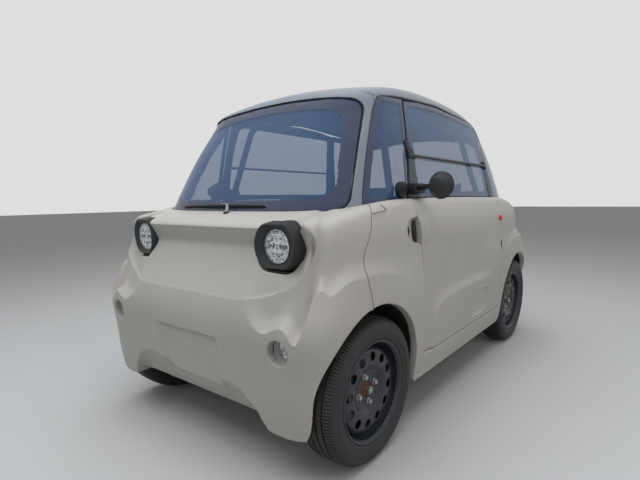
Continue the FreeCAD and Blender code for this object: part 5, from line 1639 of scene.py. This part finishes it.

# A black sheet pressed into the hand recess beside the door's leading edge. It is painted shadow standing for
# the dark grab opening behind the door's edge.
SLOT_Y = -0.5365
bow = np.linspace(-1.45, 1.45, 24)
shadow_crescent = np.concatenate([np.stack([np.full(12, SLOT_Y), np.linspace(CUP_Z + 0.046, CUP_Z - 0.050, 12)], -1),
                           np.stack([SLOT_Y - 0.030 * np.cos(bow), CUP_Z - 0.002 + 0.048 * np.sin(bow)], -1)])
grab_opening_shadow = shell(tub, ways(shadow_crescent), 0.004, lambda x, y, z, s: np.full(len(x), 0.0160), grid=0.008,
                  edge=0.0015, steps=2)
pair("grab_opening_shadow", grab_opening_shadow, SEAL, CAR, "black_plastic")
button = tub_point(-0.606, 0.850) + [-0.0225, 0, 0]
catch_parts = joined([turned_profile([(0.0125, 0.0), (0.0125, 0.006), (0.0110, 0.0078), (0.0072, 0.0084),
                                      (0.0066, 0.0070), (0.0004, 0.0066)], button, "x", 32),
                      rounded_box(button + [0.004, -0.004, -0.021], button + [0.009, 0.004, 0.021], 0.003)])
pair("hand_catch", catch_parts, BLACK, CAR, "black_plastic")

FLAP_WAYS = [(0.8683, 0.9287), (0.9485, 0.9345), (0.9685, 0.9426), (0.9409, 0.9659), (0.9395, 0.9675)]
flap_line = resampled(surface_path(tub, FLAP_WAYS, -0.0002), 0.006)
pair("wing_cover_joint", tube(flap_line, 0.0011, False, 6), SEAL, CAR, "black_plastic")

# Cabin: seats, steering wheel, dashboard

SEAT_X, SECTIONS = 0.280, 26
PAD_HALF, BACK_HALF, SHELL_HALF = 0.196, 0.188, 0.214
PAD_DEEP, BACK_DEEP, SHELL_WALL = 0.036, 0.031, 0.0065


def directions(path):
    run = np.gradient(np.asarray(path, float), axis=0)
    return run / np.linalg.norm(run, axis=1)[:, None]


def eased(value, power):
    """A sine or cosine pushed out, so that the circle of both becomes squarer."""
    return math.copysign(abs(value) ** power, value)


def cushion(path, wides, thicks, up):
    """A stuffed pad: rounded sections along a path, crowned in the middle and drawn in at its ends."""
    side = np.array([1.0, 0, 0])
    rings = []
    for point, ahead, wide, thick in zip(path, directions(path), wides, thicks):
        over = np.cross(side, ahead)
        over *= np.sign(over @ np.asarray(up, float)) or 1
        ring = []
        for angle in round_steps(48):
            x = wide * eased(math.cos(angle), 0.45)
            h = thick * eased(math.sin(angle), 0.62)
            if h > 0:
                share = abs(x) / wide
                h *= 0.86 + 0.14 * (1 - share ** 2) + 0.16 * smooth((share - 0.62) / 0.26)
            ring.append(point + side * x + over * h)
        rings.append(np.array(ring))
    return lofted(rings, True, True)


def seat(name, x, y):
    """Pad for sitting, pad for the back, and the moulded shell that carries both."""
    steps = np.linspace(0, 1, SECTIONS)
    ends = np.sqrt(np.clip(1 - (2 * steps - 1) ** 8, 0, 1))
    wave = 0.004 * np.sin(steps * 6 * math.pi) ** 2
    base_path = np.stack([np.full(SECTIONS, x), y + 0.010 + 0.345 * steps,
                          0.5545 - 0.018 * steps + 0.010 * np.sin(math.pi * steps)], -1)
    base = cushion(base_path, PAD_HALF * (0.90 + 0.10 * ends), 0.003 + (PAD_DEEP - wave) * ends, (0, 0, 1))
    back_path = np.stack([np.full(SECTIONS, x), y + 0.372 + 0.142 * steps, 0.612 + 0.436 * steps], -1)
    back = cushion(back_path, BACK_HALF * (0.88 + 0.12 * ends) * (1 - 0.10 * smooth((steps - 0.6) / 0.4)),
                   0.003 + (BACK_DEEP - wave) * ends, (0, -1, 0.3))
    for part, pad in (("seat_pad_", base), ("seat_back_", back)):
        made = piece(part + name, pad, CLOTH, "car", "grained_plastic", "seat_" + name, sharp=60)
    side_path = [(0.012, 0.520), (0.200, 0.512), (0.340, 0.510), (0.395, 0.545), (0.420, 0.620), (0.470, 0.780),
                 (0.520, 0.930), (0.558, 1.050)]
    shell_path = resampled([(x, y + back, z) for back, z in side_path], 0.022)
    rings = []
    for index, (point, ahead) in enumerate(zip(shell_path, directions(shell_path))):
        over = np.cross([1.0, 0, 0], ahead)
        share = index / (len(shell_path) - 1)
        wide = SHELL_HALF * (1 - 0.12 * float(smooth((share - 0.75) / 0.25)))
        wide *= 1 - 0.06 * float(smooth((0.12 - share) / 0.12))
        outer = [point + np.array([wide * u, 0, 0]) + over * (0.034 * abs(u) ** 4)
                 for u in np.linspace(-1, 1, 25)]
        inner = [p + over * SHELL_WALL for p in outer[::-1]]
        rings.append(np.array(outer + inner))
    piece("seat_shell_" + name, lofted(rings, True, True), SHELL, "car", "grained_plastic", "seat_" + name,
          sharp=40)


seat("driver", SEAT_X, -0.140)
seat("passenger", -SEAT_X, 0.030)

WHEEL_MIDDLE, WHEEL_TILT = np.array([SEAT_X, -0.330, 0.860]), math.radians(28)
RIM_RADIUS, RIM_GRIP, RIM_BULGE = 0.1735, 0.0128, 0.0016


def at_column(points):
    """Wheel coordinates: X across, Y up the rim, Z along the column towards the driver."""
    points = np.asarray(points, float)
    c, s = math.cos(WHEEL_TILT), math.sin(WHEEL_TILT)
    return WHEEL_MIDDLE + np.stack([points[:, 0], points[:, 2] * c - points[:, 1] * s,
                                    points[:, 2] * s + points[:, 1] * c], -1)


turn_angles = np.linspace(0, 2 * math.pi, 72, endpoint=False)
rim_rings = []
for a in turn_angles:
    grip = RIM_GRIP + RIM_BULGE * (abs(math.cos(a)) ** 8)
    ring = []
    for b in round_steps(16):
        r = RIM_RADIUS + grip * math.cos(b) - (0.0012 if 4.2 < b < 5.2 else 0)
        ring.append((r * math.cos(a), r * math.sin(a), grip * math.sin(b)))
    rim_rings.append(at_column(ring))
wheel_rim = lofted(rim_rings + rim_rings[:1])
boss_rings = []
for r, off in ((0.026, -0.020), (0.036, -0.016), (0.041, -0.006), (0.042, 0.004), (0.039, 0.011),
               (0.030, 0.0145), (0.0285, 0.0130), (0.015, 0.0150), (0.0006, 0.0155)):
    boss_rings.append(at_column([(r * 1.08 * math.cos(a), r * math.sin(a), off) for a in turn_angles[::2]]))
boss = lofted(boss_rings, True, True)
spokes = []
for angle in (0, 180, 270):
    a = math.radians(angle)
    out, across = np.array([math.cos(a), math.sin(a), 0]), np.array([-math.sin(a), math.cos(a), 0])
    rings = []
    for share in np.linspace(0, 1, 12):
        r = 0.030 + share * 0.136
        half, thick = 0.0165 - 0.0060 * math.sin(math.pi * share) + 0.004 * share, 0.0052
        lift = -0.006 + 0.006 * share
        rings.append(at_column([out * r + across * half * eased(math.cos(b), 0.6)
                                + np.array([0, 0, lift + thick * eased(math.sin(b), 0.6)])
                                for b in round_steps(16)]))
    spokes.append(lofted(rings, True, True))
piece("steering_rim", wheel_rim, GRAINED, "steering", "grained_plastic", "steering_wheel", sharp=50)
piece("steering_boss", joined([boss] + spokes), BLACK, "steering", "black_plastic", "steering_wheel", sharp=40)


def dash_profile(x):
    """The dashboard's section: a rounded top, an open shelf towards the seats and a rolled lower edge."""
    tuck = 0.010 * (abs(x) / 0.62) ** 6
    top = [(-0.770, 0.7935), (-0.720, 0.7985), (-0.668, 0.7955), (-0.640, 0.786), (-0.631, 0.772),
           (-0.640, 0.764)]
    shelf = [(-0.655, 0.760), (-0.690, 0.757), (-0.714, 0.748), (-0.722, 0.725), (-0.716, 0.700),
             (-0.700, 0.690), (-0.652, 0.688), (-0.634, 0.694), (-0.628, 0.687), (-0.632, 0.672),
             (-0.650, 0.666), (-0.780, 0.666)]
    front = [(-0.797 + tuck, 0.676), (-0.797 + tuck, 0.765 - tuck)]
    return front + [(y, z - tuck) for y, z in top] + shelf


dash_rings = []
for x in np.linspace(-0.640, 0.640, 41):
    dash_rings.append(np.array([(x, y, z) for y, z in rounded(dash_profile(x), 0.008, 3)]))
piece("dash_shelf", lofted(dash_rings, True, True), GRAINED, "car", "grained_plastic", "dashboard", sharp=50)
POD_HALF, POD_Z = 0.082, 0.800
pod_rings = []
for y, wide, high in ((-0.742, 0.55, 0.012), (-0.735, 0.80, 0.028), (-0.715, 0.95, 0.040), (-0.690, 1.0, 0.044),
                      (-0.668, 1.0, 0.044), (-0.664, 0.97, 0.042), (-0.668, 0.94, 0.039), (-0.674, 0.93, 0.038),
                      (-0.675, 0.90, 0.036)):
    pod_rings.append(np.array([(SEAT_X + POD_HALF * eased(math.cos(a), 0.5) * wide, y,
                                POD_Z + high * eased(math.sin(a), 0.5)) for a in turn_angles[::2]]))
piece("dash_pod", lofted(pod_rings, True, True), GRAINED, "car", "grained_plastic", "dashboard", sharp=40)

# Finishes of the CAD parts that are shown as they are

CARRIED = {"chassis_rails": FRAME, "cross_members": FRAME, "cabin_frame": FRAME, "rear_axle": FRAME,
           "suspension_front": FRAME, "seat_plinth": SHELL, "motor_block": CAST, "battery_block": CELLS,
           "drive_shafts": STEEL, "dampers_rear": FRAME, "knuckle_left": CAST, "knuckle_right": CAST,
           "hinge_brackets": FRAME, "floor_pan": GRAINED, "wheel_liners": GRAINED, "steering_column": BLACK,
           "door_left": PAINT, "door_right": PAINT}
for name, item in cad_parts.items():
    finish = CARRIED.get(name, GRAINED)
    if not item.material_slots:
        continue
    for place in item.material_slots:
        place.link = "OBJECT"
        place.material = finish


# Floor, light and camera

def studio():
    mesh = bpy.data.meshes.new("floor")
    span = 40.0
    corners = [(-span, -span, 0), (span, -span, 0), (span, span, 0), (-span, span, 0)]
    mesh.from_pydata(corners, [], [(0, 1, 2, 3)])
    floor = bpy.data.objects.new("floor", mesh)
    bpy.context.scene.collection.objects.link(floor)
    pale = bpy.data.materials.new("pale_floor")
    pale.use_nodes = True
    tree = pale.node_tree
    noise = node(tree, "TexNoise", Scale=40.0, Detail=5.0).outputs["Fac"]
    fill(tree, tree.nodes["Principled BSDF"], {
        "Roughness": 0.85, "Base Color": ramp(tree, noise, (0, srgb(172, 172, 172)), (1, srgb(178, 178, 178)))})
    mesh.materials.append(pale)

    world = bpy.data.worlds.new("studio")
    bpy.context.scene.world = world
    world.use_nodes = True
    tree = world.node_tree
    tree.nodes.clear()
    light = node(tree, "Background", Strength=0.36, Color=(0.95, 0.97, 1.0, 1.0)).outputs[0]
    seen = node(tree, "Background", Strength=1.0, Color=srgb(222, 222, 222)).outputs[0]
    ray = node(tree, "LightPath").outputs
    straight = node(tree, "Math", {0: ray["Is Camera Ray"], 1: ray["Is Transmission Ray"]}, operation="ADD",
                    use_clamp=True).outputs[0]
    plain = node(tree, "Math", {0: straight, 1: ray["Is Glossy Ray"]}, operation="ADD",
                 use_clamp=True).outputs[0]
    node(tree, "OutputWorld", {0: node(tree, "MixShader", {0: plain, 1: light, 2: seen}).outputs[0]})

    def lamp(name, place, target, size_x, size_y, power, colour=(1, 1, 1)):
        data = bpy.data.lights.new(name, "AREA")
        data.shape = "RECTANGLE"
        data.size, data.size_y = size_x, size_y
        data.energy = power
        data.color = colour
        made = bpy.data.objects.new(name, data)
        bpy.context.scene.collection.objects.link(made)
        made.location = place
        made.rotation_euler = (Vector(target) - Vector(place)).to_track_quat("-Z", "Y").to_euler()
        made.visible_glossy = False

    lamp("sky_panel", (0.0, -0.8, 4.6), (0, 0, 0.6), 5.0, 6.0, 270, (0.94, 0.97, 1.0))
    lamp("left_panel", (4.2, -1.0, 2.6), (0, 0, 0.8), 3.0, 3.0, 46)
    lamp("front_panel_light", (-1.6, -5.0, 2.4), (0, 0, 0.7), 3.0, 2.4, 16)


# The camera stands low before the car's left front corner. The frame is 640 by 480 pixels.
FRAME_WIDTH, FRAME_HEIGHT = 640.0, 480.0
FOCAL_PIXELS = 425.6
CENTRE_X, CENTRE_Y = 349.56, 280.34
CAMERA_PLACE = Vector((1.469, -2.096, 0.983))
CAMERA_YAW, CAMERA_PITCH, CAMERA_ROLL = -36.53, -10.93, -0.775


def photo_camera():
    data = bpy.data.cameras.new("camera")
    made = bpy.data.objects.new("camera", data)
    bpy.context.scene.collection.objects.link(made)
    bpy.context.scene.camera = made
    yaw, pitch, roll = (math.radians(a) for a in (CAMERA_YAW, CAMERA_PITCH, CAMERA_ROLL))
    look = Vector((math.sin(yaw) * math.cos(pitch), math.cos(yaw) * math.cos(pitch), math.sin(pitch)))
    right = look.cross(Vector((0, 0, 1))).normalized()
    up = right.cross(look)
    right, up = math.cos(roll) * right + math.sin(roll) * up, -math.sin(roll) * right + math.cos(roll) * up
    turn = Matrix((right, up, -look)).transposed()
    made.matrix_world = Matrix.Translation(CAMERA_PLACE) @ turn.to_4x4()
    data.sensor_width = 36.0
    data.lens = FOCAL_PIXELS * data.sensor_width / FRAME_WIDTH
    data.shift_x = -(CENTRE_X - FRAME_WIDTH / 2) / FRAME_WIDTH
    data.shift_y = (CENTRE_Y - FRAME_HEIGHT / 2) / FRAME_WIDTH
    data.clip_end = 100.0


studio()
photo_camera()
view = bpy.context.scene.view_settings
view.view_transform = "Standard"
